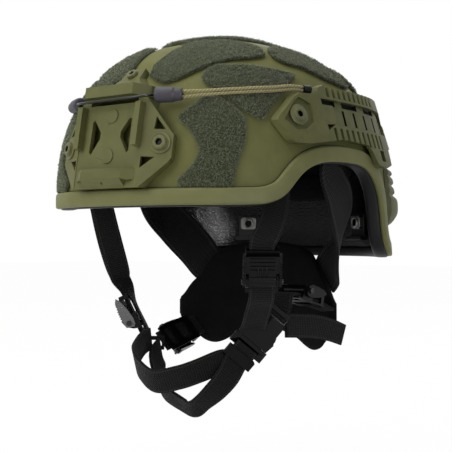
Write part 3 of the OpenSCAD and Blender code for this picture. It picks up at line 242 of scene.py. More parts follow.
def over_dome(x, y, off):
    """Point of the dome above a place seen from the top."""
    q = ((np.abs(x) / (HALF_WIDTH + off)) ** PLAN_POWER
         + (np.abs(y) / (HALF_LENGTH + off)) ** PLAN_POWER) ** (1 / PLAN_POWER)
    return np.stack([x, y, (CROWN + off) * (1 - q**RISE_POWER) ** (1 / RISE_POWER)], -1)


def heading(a):
    """Direction of the outward normal seen from above, in degrees."""
    p = on_dome(a, 0, 0)
    q = PLAN_POWER - 1
    return math.degrees(math.atan2(
        math.copysign(abs(p[1] / HALF_LENGTH) ** q / HALF_LENGTH, p[1]),
        math.copysign(abs(p[0] / HALF_WIDTH) ** q / HALF_WIDTH, p[0])))


# %% The rim line
# Each row is a plan angle and a height there, as a share of the ear arch where it is above
# the brow and of the nape's drop where it is below.
RIM = np.array([
    [-90, 0], [-83, 0], [-76, 0], [-70, 0], [-64, 0], [-59, 0], [-54, 0], [-47, 0.01],
    [-42, 0.03], [-38.4, 0.09], [-35.4, 0.19], [-33, 0.33], [-30.6, 0.51], [-28, 0.68],
    [-25, 0.81], [-21, 0.91], [-16, 0.97], [-10, 0.995], [-3, 1], [4, 0.985], [9, 0.93],
    [13, 0.82], [16.4, 0.66], [19, 0.47], [21, 0.26], [22.6, 0], [23.8, -0.25],
    [25.2, -0.5], [27.4, -0.72], [30.6, -0.87], [35, -0.965], [41, -1], [50, -1],
    [60, -1], [70, -1], [80, -1], [90, -1]])
rim_height = np.where(RIM[:, 1] > 0, ARCH, NAPE) * RIM[:, 1]
half_rim = spline(np.stack([RIM[:, 0], rim_height], -1), 5)
other_half = half_rim[-2:0:-1]
rim = np.concatenate([half_rim, np.stack([180 - other_half[:, 0], other_half[:, 1]], -1)])
print("rim points", len(rim), "from brow", rim[0, 1].round(1), "to nape", rim[:, 1].min())


def by_rim(u, off):
    """Ring of points u mm up from the rim line, square to it, and off mm outside the dome."""
    k = plan_radius(rim[:, 0], 0) * math.pi / 180
    a, b = np.roll(rim, 1, 0), np.roll(rim, -1, 0)
    run = (b[:, 0] - a[:, 0]) % 360 * k
    rise = b[:, 1] - a[:, 1]
    size = np.hypot(run, rise)
    return on_dome(rim[:, 0] - u * rise / size / k, rim[:, 1] + u * run / size, off)


# %% [markdown]
# ## Tools for materials
# Colours are written as they look on a screen, and one function turns them to the linear
# values that the renderer works with. One more function adds a node, sets its values and
# joins its sockets, so that a material reads as a short list of what it is made of.


# %% Colour and node helpers
def colour(code):
    """sRGB hex to linear: each channel is undone by the screen's curve."""
    v = np.array([int(code[i:i + 2], 16) for i in (1, 3, 5)]) / 255
    v = np.where(v <= 0.04045, v / 12.92, ((v + 0.055) / 1.055) ** 2.4)
    return (*v.tolist(), 1.0)


def add(material, kind, inputs, **settings):
    """Adds a node; inputs maps a socket to a value, or to the output it is joined to."""
    node = material.node_tree.nodes.new("ShaderNode" + kind)
    for key, value in settings.items():
        setattr(node, key, value)
    for key, value in inputs.items():
        if isinstance(value, bpy.types.NodeSocket):
            material.node_tree.links.new(value, node.inputs[key])
        else:
            node.inputs[key].default_value = value
    return node


def new_material(name, **values):
    """Material with one Principled shader; values are its sockets, underscores for spaces."""
    material = bpy.data.materials.new(name)
    material.use_nodes = True
    shader = material.node_tree.nodes["Principled BSDF"]
    for key, value in values.items():
        shader.inputs[key.replace("_", " ")].default_value = value
    material.diffuse_color = values.get("Base_Color", (0.5, 0.5, 0.5, 1))
    return material, shader


def join(material, output, socket):
    material.node_tree.links.new(output, socket)


def on_object(material):
    """Place on the object, in metres, that a texture reads."""
    return add(material, "TexCoord", {}).outputs["Object"]


def worked_out(material, operation, *values):
    return add(material, "Math", dict(enumerate(values)), operation=operation).outputs["Value"]


def waves(material, uv, scale, direction, **more):
    """Bands of light and dark across a UV map."""
    return add(material, "TexWave", {"Vector": uv, "Scale": scale, **more},
               bands_direction=direction).outputs["Fac"]


def shades(material, value, dark, light, low=0.0, high=1.0):
    """Colour that goes from dark to light while a value goes from low to high."""
    ramp = add(material, "ValToRGB", {"Fac": value})
    for stop, position, code in zip(ramp.color_ramp.elements, (low, high), (dark, light)):
        stop.position, stop.color = position, colour(code)
    return ramp.outputs["Color"]


def bumped(material, shader, height, depth):
    """Bump that stands depth mm high where the height's value is 1."""
    bump = add(material, "Bump", {"Height": height, "Strength": 1.0, "Distance": depth * MM})
    join(material, bump.outputs["Normal"], shader.inputs["Normal"])


def mottled(material, shader, place, dark, light, grain):
    """Base colour that drifts between two shades over patches of about grain mm."""
    noise = add(material, "TexNoise", {"Vector": place, "Scale": 1000 / grain, "Detail": 4.0,
                                       "Roughness": 0.6})
    join(material, shades(material, noise.outputs["Fac"], dark, light, 0.35, 0.65),
         shader.inputs["Base Color"])


def grained(material, shader, place, grain, depth, detail=2.0):
    """Bump of noise with grains of about grain mm, depth mm high."""
    noise = add(material, "TexNoise", {"Vector": place, "Scale": 1000 / grain, "Detail": detail})
    bumped(material, shader, noise.outputs["Fac"], depth)


# %% [markdown]
# ## Paint and hard finishes
# The shell is pressed fibre under a sanded, non-slip paint: no gloss, and a grain that is
# just seen. The band and rails are painted or moulded in the same green with a finer
# grain. Drawing the grain as bump on Object coordinates keeps its size the same on every
# piece, whatever its faces are like.

# %% Olive finishes
def olive_finish(name, dark, light, roughness, grain, depth):
    """Green of two close shades that drift over 14 mm, with almost no gloss."""
    material, shader = new_material(name, Roughness=roughness, Base_Color=colour(light),
                                    Specular_IOR_Level=0.16)
    place = on_object(material)
    mottled(material, shader, place, dark, light, 14.0)
    grained(material, shader, place, grain, depth)
    return material


# sanded epoxy paint over pressed fibre: a dry, even green with a fine grit of 0.7 mm
sanded_paint = olive_finish("sanded_epoxy_paint", "#5a5b31", "#616237", 0.66, 0.7, 0.05)
# the same paint over a moulded band, flatter, so that it catches the light more evenly
band_paint = olive_finish("painted_moulded_band", "#64653e", "#6a6b43", 0.55, 0.9, 0.02)
# hard-coated machined alloy: crisp and a little smoother than the shell
alloy_coat = olive_finish("hard_coated_alloy", "#535430", "#595a34", 0.5, 0.5, 0.015)
# glass-filled nylon with a spark-eroded mould grain: duller than paint, with soft light
moulded_nylon = olive_finish("moulded_glass_nylon", "#4d4e2c", "#575833", 0.55, 0.6, 0.025)
# the guard's polymer is a touch greyer
guard_nylon = olive_finish("moulded_guard_nylon", "#535436", "#5e5f40", 0.58, 0.6, 0.025)
print("olive finishes", 5)

# %% Black, grey and metal finishes
def plain_finish(name, code, roughness, grain, depth, metallic=0.0, gloss=0.5):
    material, shader = new_material(name, Base_Color=colour(code), Roughness=roughness,
                                    Metallic=metallic, Specular_IOR_Level=gloss)
    grained(material, shader, on_object(material), grain, depth)
    return material


# injection-moulded acetal: black and smooth, with small sharp lights along its edges
black_acetal = plain_finish("moulded_acetal_black", "#080809", 0.28, 0.8, 0.01, gloss=0.13)
# the same acetal mixed grey all over: a painted highlight for the one lever that is seen lit
acetal_painted_highlight = plain_finish("moulded_acetal_painted_highlight", "#585858", 0.42, 0.8, 0.01)
# extruded rubber: dull charcoal, soft light over its rounded lip
edge_rubber = plain_finish("extruded_edge_rubber", "#131314", 0.5, 1.2, 0.02, gloss=0.16)
# painted shade: black on the walls inside the slots of the rails, where shade falls
slot_shade = plain_finish("slot_shade", "#0b0b09", 0.8, 1.0, 0.02, gloss=0.1)
# glue in the joint over the band: dull, and black as painted shade of the groove it lies in
glue_painted_shade = plain_finish("joint_glue_painted_shade", "#24251a", 0.7, 1.0, 0.02, gloss=0.2)
# soft grey vinyl of the bungee's sleeves
grey_vinyl = plain_finish("moulded_grey_vinyl", "#3b393f", 0.5, 1.0, 0.012, gloss=0.25)
# zinc-plated pressed steel of the brackets inside
zinc_steel = plain_finish("zinc_plated_steel", "#8f8f8b", 0.36, 0.6, 0.01, metallic=1.0)
# the brackets' steel under thin black paint
coated_steel = plain_finish("black_painted_steel", "#1c1c1c", 0.3, 0.6, 0.01, metallic=0.3)
# black-coated spring wire
coated_wire = plain_finish("coated_spring_wire", "#0a0a0b", 0.28, 0.6, 0.005, metallic=0.2)
# steel screws under the same green paint
screw_paint = olive_finish("painted_screw_steel", "#56573a", "#63643f", 0.42, 0.7, 0.01)

# the lining is sprayed gloss black: an orange peel of 1.6 mm that breaks the light up
lining_gloss, shader = new_material("sprayed_gloss_lining", Base_Color=colour("#070707"),
                                    Roughness=0.12, Specular_IOR_Level=0.25)
grained(lining_gloss, shader, on_object(lining_gloss), 1.6, 0.5, detail=4.0)
print("hard finishes", len(bpy.data.materials))

# %% [markdown]
# ## Cloth finishes
# Webbing is woven: its threads run across and along the strap, so the pattern reads the
# strap's own UV map, where one unit is ten millimetres. The comfort pads are covered in a
# knitted mesh, and the patches carry a pile of small loops. A little sheen gives cloth
# the pale rim that fibres have when they are seen from the side.

# %% Woven webbing
def woven(name, dark, light, thread):
    """Ribs across the strap with a twill over them. Along each selvedge, 8 mm off the
    middle, runs a line of thicker thread: it shows where the distance to that line is
    less than 0.6 mm."""
    material, shader = new_material(name, Roughness=0.75, Base_Color=colour("#101011"),
                                    Sheen_Weight=0.04, Sheen_Roughness=0.5,
                                    Specular_IOR_Level=0.08)
    uv = add(material, "UVMap", {}, uv_map="cloth").outputs["UV"]
    ribs = waves(material, uv, 1.65, "Y", Distortion=0.6, Detail=1.0)
    twill = waves(material, uv, 3.2, "DIAGONAL", Distortion=0.4)
    bumped(material, shader, worked_out(material, "ADD", ribs, twill), 0.3)
    across = add(material, "SeparateXYZ", {"Vector": uv}).outputs["X"]
    from_mid = worked_out(material, "ABSOLUTE", across)
    off_line = worked_out(material, "ABSOLUTE", worked_out(material, "SUBTRACT", from_mid, 0.8))
    line = add(material, "MapRange", {"Value": off_line, "From Min": 0.06, "From Max": 0.02,
                                      "To Min": 0.0, "To Max": 0.7}).outputs["Result"]
    mix = add(material, "Mix", {0: line, 6: shades(material, ribs, dark, light),
                                7: colour(thread)}, data_type="RGBA")
    join(material, mix.outputs[2], shader.inputs["Base Color"])
    return material


# nylon webbing: ribs 1.9 mm apart across the strap, drawn coarse enough to be seen
webbing_nylon = woven("woven_nylon_webbing", "#0a0a0a", "#171716", "#2b2a28")

# %% Knitted mesh
def knitted(name, dark, light, hole):
    """Cells of about hole mm, dark in their middles: a knitted mesh over foam."""
    material, shader = new_material(name, Roughness=0.85, Base_Color=colour(light),
                                    Sheen_Weight=0.015, Specular_IOR_Level=0.05)
    cells = add(material, "TexVoronoi", {"Vector": on_object(material), "Scale": 1000 / hole,
                                         "Randomness": 0.35}).outputs["Distance"]
    join(material, shades(material, cells, dark, light, 0.1, 0.5), shader.inputs["Base Color"])
    bumped(material, shader, cells, 0.35)
    return material


# spacer mesh of the pads: holes of 2.4 mm, nearly black
pad_mesh = knitted("knitted_spacer_mesh", "#030303", "#0b0b0c", 2.4)
# brushed tricot of the nape pad: a finer, smoother black
nape_tricot = knitted("brushed_tricot", "#0a0a0a", "#0f0f0f", 0.9)

# %% Loop pile and elastic
# bed of the loop pile: felt that stays darker than the threads
pile_bed, shader = new_material("looped_pile_bed", Roughness=0.95, Base_Color=colour("#41462d"),
                                Sheen_Weight=0.25, Specular_IOR_Level=0.15)
place = on_object(pile_bed)
mottled(pile_bed, shader, place, "#262b19", "#3e442b", 1.6)
grained(pile_bed, shader, place, 1.2, 0.5, detail=4.0)
# threads of the loop pile: greens that change from one loop to the next
pile_thread, shader = new_material("looped_pile_thread", Roughness=0.9,
                                   Base_Color=colour("#626849"), Sheen_Weight=0.3,
                                   Specular_IOR_Level=0.15)
mottled(pile_thread, shader, on_object(pile_thread), "#2f361f", "#8b9270", 1.0)

# braided elastic: tan threads that cross at a slant, 1.3 mm apart along the cord
elastic_braid, shader = new_material("braided_elastic", Roughness=0.8,
                                     Base_Color=colour("#8d855c"), Sheen_Weight=0.15,
                                     Specular_IOR_Level=0.2)
uv = add(elastic_braid, "UVMap", {}, uv_map="cloth").outputs["UV"]
braid = waves(elastic_braid, uv, 2.4, "DIAGONAL", Distortion=0.3)
join(elastic_braid, shades(elastic_braid, braid, "#6f6846", "#a29a6e"),
     shader.inputs["Base Color"])
bumped(elastic_braid, shader, braid, 0.2)
print("materials", len(bpy.data.materials))


# %% [markdown]
# ## Camera and light
# The camera stands where the photographer did: a little to the helmet's left of its
# front and slightly below the brow, 0.84 m away, with a small shift for the framing.
# Big soft lamps stand above, in front, at the side and behind, and a small one low beside
# the camera draws the glints inside, over a plain world. The world and the floor answer
# the camera with white, and light the helmet with less.

# %% Camera
AZIMUTH, ELEVATION, DISTANCE = math.radians(37.3), math.radians(-1.6), 0.840
# in pixels of the photograph: its side, the lens's focal length, and the framing's shift
PHOTO_SIDE, FOCAL, SHIFT_X, SHIFT_Y = 452, 987.8, -1.4, -15.5
SENSOR = 36.0
back = np.array([math.sin(AZIMUTH) * math.cos(ELEVATION),
                 -math.cos(AZIMUTH) * math.cos(ELEVATION), math.sin(ELEVATION)])
lens = bpy.data.cameras.new("camera")
lens.sensor_width, lens.lens = SENSOR, FOCAL / PHOTO_SIDE * SENSOR
lens.shift_x, lens.shift_y = SHIFT_X / PHOTO_SIDE, SHIFT_Y / PHOTO_SIDE
lens.clip_start, lens.clip_end = 0.01, 60
camera = bpy.data.objects.new("camera", lens)
camera.location = (back * DISTANCE).tolist()
camera.rotation_euler = (math.radians(90) - ELEVATION, 0, AZIMUTH)
bpy.context.scene.collection.objects.link(camera)
bpy.context.scene.camera = camera
print("camera at", [round(v, 3) for v in camera.location])


# %% Lamps, world, floor and backdrop
def lamp(name, place, size, watts, diffuse=True):
    """Square soft lamp that looks at the helmet; without diffuse it only draws glints."""
    light = bpy.data.lights.new(name, "AREA")
    light.size, light.energy = size, watts
    piece = bpy.data.objects.new(name, light)
    piece.location, piece.visible_diffuse = place, diffuse
    toward = -np.array(place) / np.linalg.norm(place)
    yaw, pitch = math.atan2(toward[0], -toward[1]), math.asin(toward[2])
    piece.rotation_euler = (math.radians(90) + pitch, 0, yaw + math.pi)
    bpy.context.scene.collection.objects.link(piece)


lamp("lamp_above", (-0.1, -0.35, 1.5), 1.1, 16)
lamp("lamp_front", (-0.35, -1.5, 0.7), 0.9, 13)
lamp("lamp_side", (1.5, -0.5, 0.5), 0.9, 0.3)
lamp("lamp_back", (-0.6, 1.5, 0.9), 0.9, 6)
lamp("lamp_low", (0.93, -0.48, 0.0), 0.09, 6.0, diffuse=False)

world = bpy.data.worlds.new("studio")
bpy.context.scene.world = world
world.use_nodes = True
sky = world.node_tree.nodes["Background"]
seen = add(world, "LightPath", {}).outputs
mirrored = worked_out(world, "MAXIMUM", seen["Is Camera Ray"], seen["Is Glossy Ray"])
plain = worked_out(world, "MAXIMUM", mirrored, seen["Is Transmission Ray"])
level = add(world, "MapRange", {"Value": plain, "To Min": 0.4, "To Max": 1.0})
join(world, level.outputs["Result"], sky.inputs["Strength"])
sky.inputs["Color"].default_value = (1, 1, 1, 1)

# the floor is mostly a plain white to the camera, and a pale matte to everything else
FLOOR_WHITE, FLOOR_SIDE, FLOOR_Z = 0.97, 6000, -230.0
pale_floor, shader = new_material("pale_floor", Base_Color=colour("#f4f4f4"), Roughness=0.9)
seen = add(pale_floor, "LightPath", {}).outputs["Is Camera Ray"]
white = add(pale_floor, "Emission", {"Color": (1, 1, 1, 1), "Strength": 1.0})
mixed = add(pale_floor, "MixShader", {0: worked_out(pale_floor, "MULTIPLY", seen, FLOOR_WHITE),
                                      1: shader.outputs["BSDF"],
                                      2: white.outputs["Emission"]})
ending = pale_floor.node_tree.nodes["Material Output"]
join(pale_floor, mixed.outputs["Shader"], ending.inputs["Surface"])
side = np.linspace(-FLOOR_SIDE, FLOOR_SIDE, 3)
floor_grid = np.stack([*np.meshgrid(side, side), np.full((3, 3), FLOOR_Z)], -1)
studio_floor = new_piece("studio_floor", floor_grid, grid_faces(3, 3).tolist())
studio_floor.data.materials.append(pale_floor)
bpy.context.scene.view_settings.view_transform = "Standard"

# %% [markdown]
# ## Shell, band and seal
# The shell is pressed in one piece. Its outside and its lining are two rings of the dome
# formula that climb from the rim to the crown, with fine steps, so that the light runs
# over it without corners. The band round its foot and the rubber seal are profiles
# carried along the rim line.


def finish(piece, material, body, *nodes):
    """Gives a piece its material and its body, and lets it stand for its CAD nodes."""
    if material:
        piece.data.materials.append(material)
    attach(piece, body)
    if nodes:
        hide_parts(*nodes)
    return piece


def shell_rings(rows, off, foot):
    """Rings from the rim to the crown: the height goes up as the sine of an even angle."""
    start = by_rim(foot, 0)
    a = np.degrees(np.arctan2(start[:, 1], start[:, 0]))
    rise = np.sin(np.radians(90 * np.arange(rows)[:, None] / rows))
    z = start[:, 2] + (CROWN + off - start[:, 2]) * rise
    return on_dome(np.broadcast_to(a, z.shape), z, off)


def closed(run):
    """Point numbers of a ring, with its first one again at the end."""
    return np.append(run, run[0])


def fan(ring, tip):
    """Triangles between a ring of point numbers and one more point."""
    run = closed(ring)
    return np.stack([run[:-1], run[1:], np.full(len(ring), tip)], -1)


# the shell's own edge starts this far up from the rim line, inside the seal
SHELL_FOOT = 2.5
rows, cols = 72, len(rim)
n = rows * cols
o, i = np.arange(2 * n).reshape(2, rows, cols)
outer, inner = shell_rings(rows, 0, SHELL_FOOT), shell_rings(rows, -WALL, SHELL_FOOT)
points = np.concatenate([outer.reshape(-1, 3), inner.reshape(-1, 3),
                         [[0, 0, CROWN], [0, 0, CROWN - WALL]]])
skin, crown_out = grid_faces(rows, cols, ring_cols=True), fan(o[-1], 2 * n)
edge = strip(closed(o[0])[::-1], closed(i[0])[::-1])
crown_in = fan(i[-1], 2 * n + 1)[:, [1, 0, 2]]
faces = [face for part in (skin, crown_out, edge, skin[:, ::-1] + n, crown_in)
         for face in part.tolist()]
shell = new_piece("shell_skin", points, faces)
shell.data.materials.append(sanded_paint)
also(shell, lining_gloss, np.arange(len(faces)) >= len(skin) + len(crown_out))
finish(shell, None, "helmet", "shell")
print("shell faces", len(faces))

# %% Band and seal
def round_rim(name, profile):
    """Carries a profile round the rim: each point is so far up from its line, and off it."""
    return loft(name, np.stack([by_rim(u, off) for u, off in profile], 1), ring=True)


BAND_H, BAND_OUT = 12.5, 4.0
band = round_rim("edge_band", [
    (0, 0.45), (0.1, BAND_OUT - 1.4), (0.5, BAND_OUT - 0.5), (1.2, BAND_OUT - 0.1),
    (2.2, BAND_OUT), (6, BAND_OUT + 0.1), (BAND_H - 2.2, BAND_OUT),
    (BAND_H - 1.4, BAND_OUT - 0.15), (BAND_H - 0.7, BAND_OUT - 0.6),
    (BAND_H - 0.25, BAND_OUT - 1.4), (BAND_H - 0.1, 1.2), (BAND_H - 0.1, 0.45)])
finish(band, band_paint, "helmet", "rim_band")

# the band is bonded on, and a fine bead of glue runs along its upper edge, black as painted shade
# of the groove there
bead = round_rim("band_glue_bead_painted_shade", [
    (BAND_H - 0.4, 0.1), (BAND_H - 0.4, 0.6), (BAND_H + 0.2, 0.5), (BAND_H + 0.45, 0.3),
    (BAND_H + 0.55, 0.1)])
finish(bead, glue_painted_shade, "helmet")

SEAL_UNDER, SEAL_LIP, SEAL_WALL = 2.4, 8.0, 1.8
w = WALL + 0.3
seal = round_rim("edge_seal_rubber", [
    (SEAL_UNDER, 0), (SEAL_UNDER, -w), (SEAL_LIP - 0.2, -w), (SEAL_LIP, -w - 0.4),
    (SEAL_LIP - 0.4, -w - 1.1), (SEAL_LIP - 2, -w - SEAL_WALL), (2.5, -w - SEAL_WALL - 0.1),
    (0.4, -w - SEAL_WALL), (-0.6, -w - 0.5), (-0.95, -w + 1.2), (-1.05, -w / 2),
    (-0.95, -1.6), (-0.6, -0.3), (0.3, 0.1), (1.4, 0.15)])
finish(seal, edge_rubber, "helmet", "edge_seal")
print("points in the band", len(band.data.vertices), "and in the seal", len(seal.data.vertices))

# %% [markdown]
# ## Loop patches
# The patches are cut from loop tape and glued on. A patch could be a plain raised plate,
# but its soft edge and its fluff are what the eye knows it by. So each is a slab whose
# top rounds off at its edge and is roughened by noise, and a few thousand small loops
# of thread stand out of it, each a thin arch of three-sided tube.

# %% Patch outlines
# The front, upper and rear patches are rows of a plan angle, a lowest and a highest height.
FRONT = [[-84, 100, 108], [-80, 95, 121], [-75, 91.5, 129], [-69, 95, 130.5], [-61, 104, 131],
         [-52, 110, 130.5], [-41, 113, 128], [-34, 117, 123]]
UPPER = [[-30, 116, 122], [-25, 111, 127], [-14, 109, 129], [-4, 104, 128], [6, 101, 125],
         [14, 99, 118], [20, 99, 107]]
REAR = [[30, 104, 112], [40, 101, 122], [52, 98, 127], [66, 98, 128], [78, 100, 126],
        [84, 104, 116]]
# The temple and side patches are rows of a height, a first and a last plan angle.
TEMPLE = [[63, -42.5, -41], [68, -47, -39.5], [74, -51, -37.5], [81, -54.5, -34],
          [88, -59, -31], [95, -62, -27], [101, -60.5, -23], [103.5, -58.5, -33],
          [105.5, -56, -44]]
SIDE = [[12.8, -66, -52], [18, -67, -51], [28, -63, -50], [39, -61, -48.5], [46, -62, -47.5],
        [54, -64, -47], [64, -68, -47.5], [72, -64, -51], [79, -60, -56]]
CROWN_Y, CROWN_X = [-56, -46, -24, 24, 46, 56], [14, 34, 42, 42, 34, 14]
PATCH_SEAT, PATCH_THICK = 0.5, 2.6


def stands(table, rows):
    """Patch given by plan angles, each with a lowest and a highest height."""
    s = spline(table, 12)
    t = np.linspace(0, 1, rows)[:, None]
    return lambda off: on_dome(s[:, 0], s[:, 1] * (1 - t) + s[:, 2] * t, off)


def levels(table, cols):
    """Patch given by heights, each with a first and a last plan angle."""
    s = spline(table, 8)
    t = np.linspace(0, 1, cols)[None, :]
    return lambda off: on_dome(s[:, 1:2] * (1 - t) + s[:, 2:3] * t, s[:, :1], off)


def cap(off):
    """The crown patch, an eight-sided plate seen from above."""
    y = np.linspace(CROWN_Y[0], CROWN_Y[-1], 130)[:, None]
    x = np.interp(y, CROWN_Y, CROWN_X) * np.linspace(-1, 1, 96)
    return over_dome(x, y + 0 * x, off)


def softened(noise, times):
    """Noise averaged with its four neighbours, a few times over."""
    for _ in range(times):
        noise = (noise + np.roll(noise, 1, 0) + np.roll(noise, -1, 0)
                 + np.roll(noise, 1, 1) + np.roll(noise, -1, 1)) / 5
    return noise / noise.std()


# %% Pile of small loops
LOOP_HIGH, LOOP_WIDE, LOOP_THICK = 1.35, 1.5, 0.14


def loops_on(points, normals, rng):
    """Arches of thread: the height follows 4t(1-t), the foot runs a random way."""
    turn = rng.uniform(0, 2 * math.pi, len(points))[:, None]
    ref = unit(np.cross(normals, [0.3, 0.2, 0.93]))
    way = ref * np.cos(turn) + np.cross(normals, ref) * np.sin(turn)
    side = np.cross(normals, way)
    t = np.array([0, 0.22, 0.5, 0.78, 1.0])[None, :, None]
    high = (LOOP_HIGH * rng.uniform(0.55, 1.25, len(points)))[:, None, None]
    lean = rng.uniform(-0.7, 0.7, len(points))[:, None, None]
    arch = (normals[:, None] * high + side[:, None] * lean) * 4 * t * (1 - t)
    mid = points[:, None] + way[:, None] * (t - 0.5) * LOOP_WIDE + arch
    k = np.radians([90, 210, 330])[None, None, :, None]
    out = np.cos(k) * side[:, None, None] + np.sin(k) * normals[:, None, None]
    ring = mid[:, :, None] + LOOP_THICK * out
    first = (np.arange(len(points)) * t.size * k.size)[:, None, None]
    sides = (grid_faces(t.size, k.size, ring_cols=True)[None] + first).reshape(-1, 4)
    ends = (np.array([[[2, 1, 0], [12, 13, 14]]]) + first).reshape(-1, 3)
    return ring.reshape(-1, 3), sides, ends


def rounded(gap, width):
    """Quarter circle that rises from 0 to 1 while the gap to the edge grows to a width."""
    return np.sqrt(np.clip(1 - (1 - np.clip(gap / width, 0, 1)) ** 2, 0, 1))


def patch(name, grid, seed, mirror_x=False, per_mm2=0.85):
    """Rounded, roughened slab on the dome with its pile; the right side mirrors the left."""
    rng = np.random.default_rng(seed)
    base = grid(PATCH_SEAT)
    a, b = run_length(base, 1), run_length(base, 0)
    edge_gap = np.minimum(np.minimum(a, a[:, -1:] - a), np.minimum(b, b[-1:] - b))
    noise = (softened(rng.normal(size=edge_gap.shape), 1) * 0.6
             + softened(rng.normal(size=edge_gap.shape), 4) * 0.4)
    thick = rounded(edge_gap, 2.4) * (PATCH_THICK - 0.6 + 0.3 * noise)
    top = grid(PATCH_SEAT + 0.3 + thick)
    cell = np.cross(top[:-1, 1:] - top[:-1, :-1], top[1:, :-1] - top[:-1, :-1])
    area = np.linalg.norm(cell, axis=-1)
    count = int(area.sum() * per_mm2)
    pick = rng.choice(area.size, count, p=(area / area.sum()).ravel())
    r, c = np.unravel_index(pick, area.shape)
    s, t = rng.uniform(size=(2, count, 1))
    foot = (top[r, c] * (1 - s) * (1 - t) + top[r, c + 1] * s * (1 - t)
            + top[r + 1, c] * (1 - s) * t + top[r + 1, c + 1] * s * t)
    normal = unit(cell)[r, c]
    threads, sides, ends = loops_on(foot - normal * 0.3, normal, rng)
    bed = slab_faces(*top.shape[:2]).tolist()
    first_thread = 2 * top[..., 0].size
    faces = bed + (sides + first_thread).tolist() + (ends + first_thread).tolist()
    points = np.concatenate([top.reshape(-1, 3), base.reshape(-1, 3), threads])
    piece = face_outwards(new_piece(name + "_pile", sided(points, mirror_x), faces))
    piece.data.materials.append(pile_bed)
    also(piece, pile_thread, np.arange(len(faces)) >= len(bed))
    finish(piece, None, "helmet", name)
    return count


loops = patch("patch_crown", cap, 3, per_mm2=0.57)
for k, (key, grid) in enumerate({"front": stands(FRONT, 60), "upper": stands(UPPER, 40),
                                 "temple": levels(TEMPLE, 60), "side": levels(SIDE, 48),
                                 "rear": stands(REAR, 48)}.items()):
    loops += patch("patch_" + key + "_left", grid, 10 + k)
    loops += patch("patch_" + key + "_right", grid, 20 + k, mirror_x=True)
print("loops of thread", loops)

# %% [markdown]
# ## Hard pieces of the frame
# The shroud, rails, screws, levers and buckle are right in the frame, but every moulded
# or machined edge has a small radius, and that radius is what draws the bright lines
# along it. Each piece is copied, its doubled points are joined, its flat faces are made
# whole again, and a bevel of a fraction of a millimetre is laid on its edges.


# %% Places on the shroud and the rails
# A place is a point and three turns, about X, Y and Z.
SHROUD = ([0, -143.6, 45.3], [79.8, 0, 0])
LUG_Z, LUG_STAND, LUG_TILT = 100, 5.6, 3.5
RAIL_FOOT, RAIL_MID, RAIL_TOP, RAIL_STAND = 38, 55, 82.75, 7.31
LUG_AT = on_dome(-90, LUG_Z, LUG_STAND)


def rise_left(z, off):
    """Share of the plan radius that is left at a height."""
    return max(1 - (max(z, 0) / (CROWN + off)) ** RISE_POWER, 0) ** (1 / RISE_POWER)


def lean_between(radius, low, high, off=0):
    """How far the dome leans in between two heights, in degrees."""
    fall = radius * (rise_left(low, off) - rise_left(high, off))
    return math.degrees(math.atan(fall / (high - low)))


LUG_TURN = LUG_TILT + lean_between(HALF_LENGTH, LUG_Z - 4, LUG_Z + 4)
RAIL_LEAN = lean_between(HALF_WIDTH, RAIL_FOOT, RAIL_TOP)
RAIL_FACE = RAIL_STAND - HALF_WIDTH * (1 - rise_left(RAIL_MID, 0))


def rail_point(a, z, d):
    """Point of the rail's face, d mm into it."""
    lean = math.tan(math.radians(RAIL_LEAN)) * (z - RAIL_MID)
    r = float(plan_radius(a, RAIL_FACE - lean - d))
    return np.array([r * math.cos(math.radians(a)), r * math.sin(math.radians(a)), z])


def rail_angle(y, z, d):
    """Plan angle at which the rail's face passes y: guess, measure, and guess again."""
    a = 0.0
    for _ in range(12):
        p = rail_point(a, z, d)
        a = math.degrees(math.asin(y / math.hypot(p[0], p[1])))
    return a


def on_rail(a, z, d):
    return rail_point(a, z, d), [0, 90 - RAIL_LEAN, heading(a)]


def to_lining(place):
    """How far down its axis a screw meets the lining: the first point inside that dome."""
    t = np.linspace(0, 60, 6001)
    x, y, z = place(np.stack([0 * t, 0 * t, -t], -1)).T
    q = ((np.abs(x) / (HALF_WIDTH - WALL)) ** PLAN_POWER
         + (np.abs(y) / (HALF_LENGTH - WALL)) ** PLAN_POWER) ** (RISE_POWER / PLAN_POWER)
    return float(t[np.argmax(q + (np.maximum(z, 0) / (CROWN - WALL)) ** RISE_POWER < 1)])


# %% Softened copies
def cut_out(piece, name, boxes):
    """Takes eight-cornered boxes out of a piece for good, and says which faces line them:
    those that don't face outwards and whose middle lies in a box, by its share of each
    of the box's three edges."""
    side = [[0, 2, 3, 1], [4, 5, 7, 6], [0, 1, 5, 4], [2, 6, 7, 3], [0, 4, 6, 2], [1, 3, 7, 5]]
    faces = (np.array(side)[None] + 8 * np.arange(len(boxes))[:, None, None]).reshape(-1, 4)
    cutter = new_piece(name, np.concatenate(boxes), faces.tolist())
    shape = bmesh.new()
    shape.from_mesh(cutter.data)
    bmesh.ops.recalc_face_normals(shape, faces=shape.faces)
    shape.to_mesh(cutter.data)
    shape.free()
    slots = piece.modifiers.new("slots", "BOOLEAN")
    slots.operation, slots.solver, slots.object = "DIFFERENCE", "EXACT", cutter
    scene_now = bpy.context.evaluated_depsgraph_get()
    whole = bpy.data.meshes.new_from_object(piece.evaluated_get(scene_now))
    piece.modifiers.clear()
    piece.data = whole
    bpy.data.objects.remove(cutter)
    middle, normal = np.empty((2, 3 * len(whole.polygons)))
    whole.polygons.foreach_get("center", middle)
    whole.polygons.foreach_get("normal", normal)
    middle, normal = middle.reshape(-1, 3) / MM, normal.reshape(-1, 3)
    side_on = np.abs((unit(middle * [1, 1, 0]) * normal).sum(1)) < 0.6
    wall = np.zeros(len(middle), bool)
    for b in boxes:
        axes = np.stack([b[4] - b[0], b[2] - b[0], b[1] - b[0]])
        share = (middle - b[0]) @ axes.T / (axes**2).sum(1)
        wall |= (np.abs(share - 0.5) < 0.5 + 0.03 / np.linalg.norm(axes, axis=1)).all(1)
    return wall & side_on


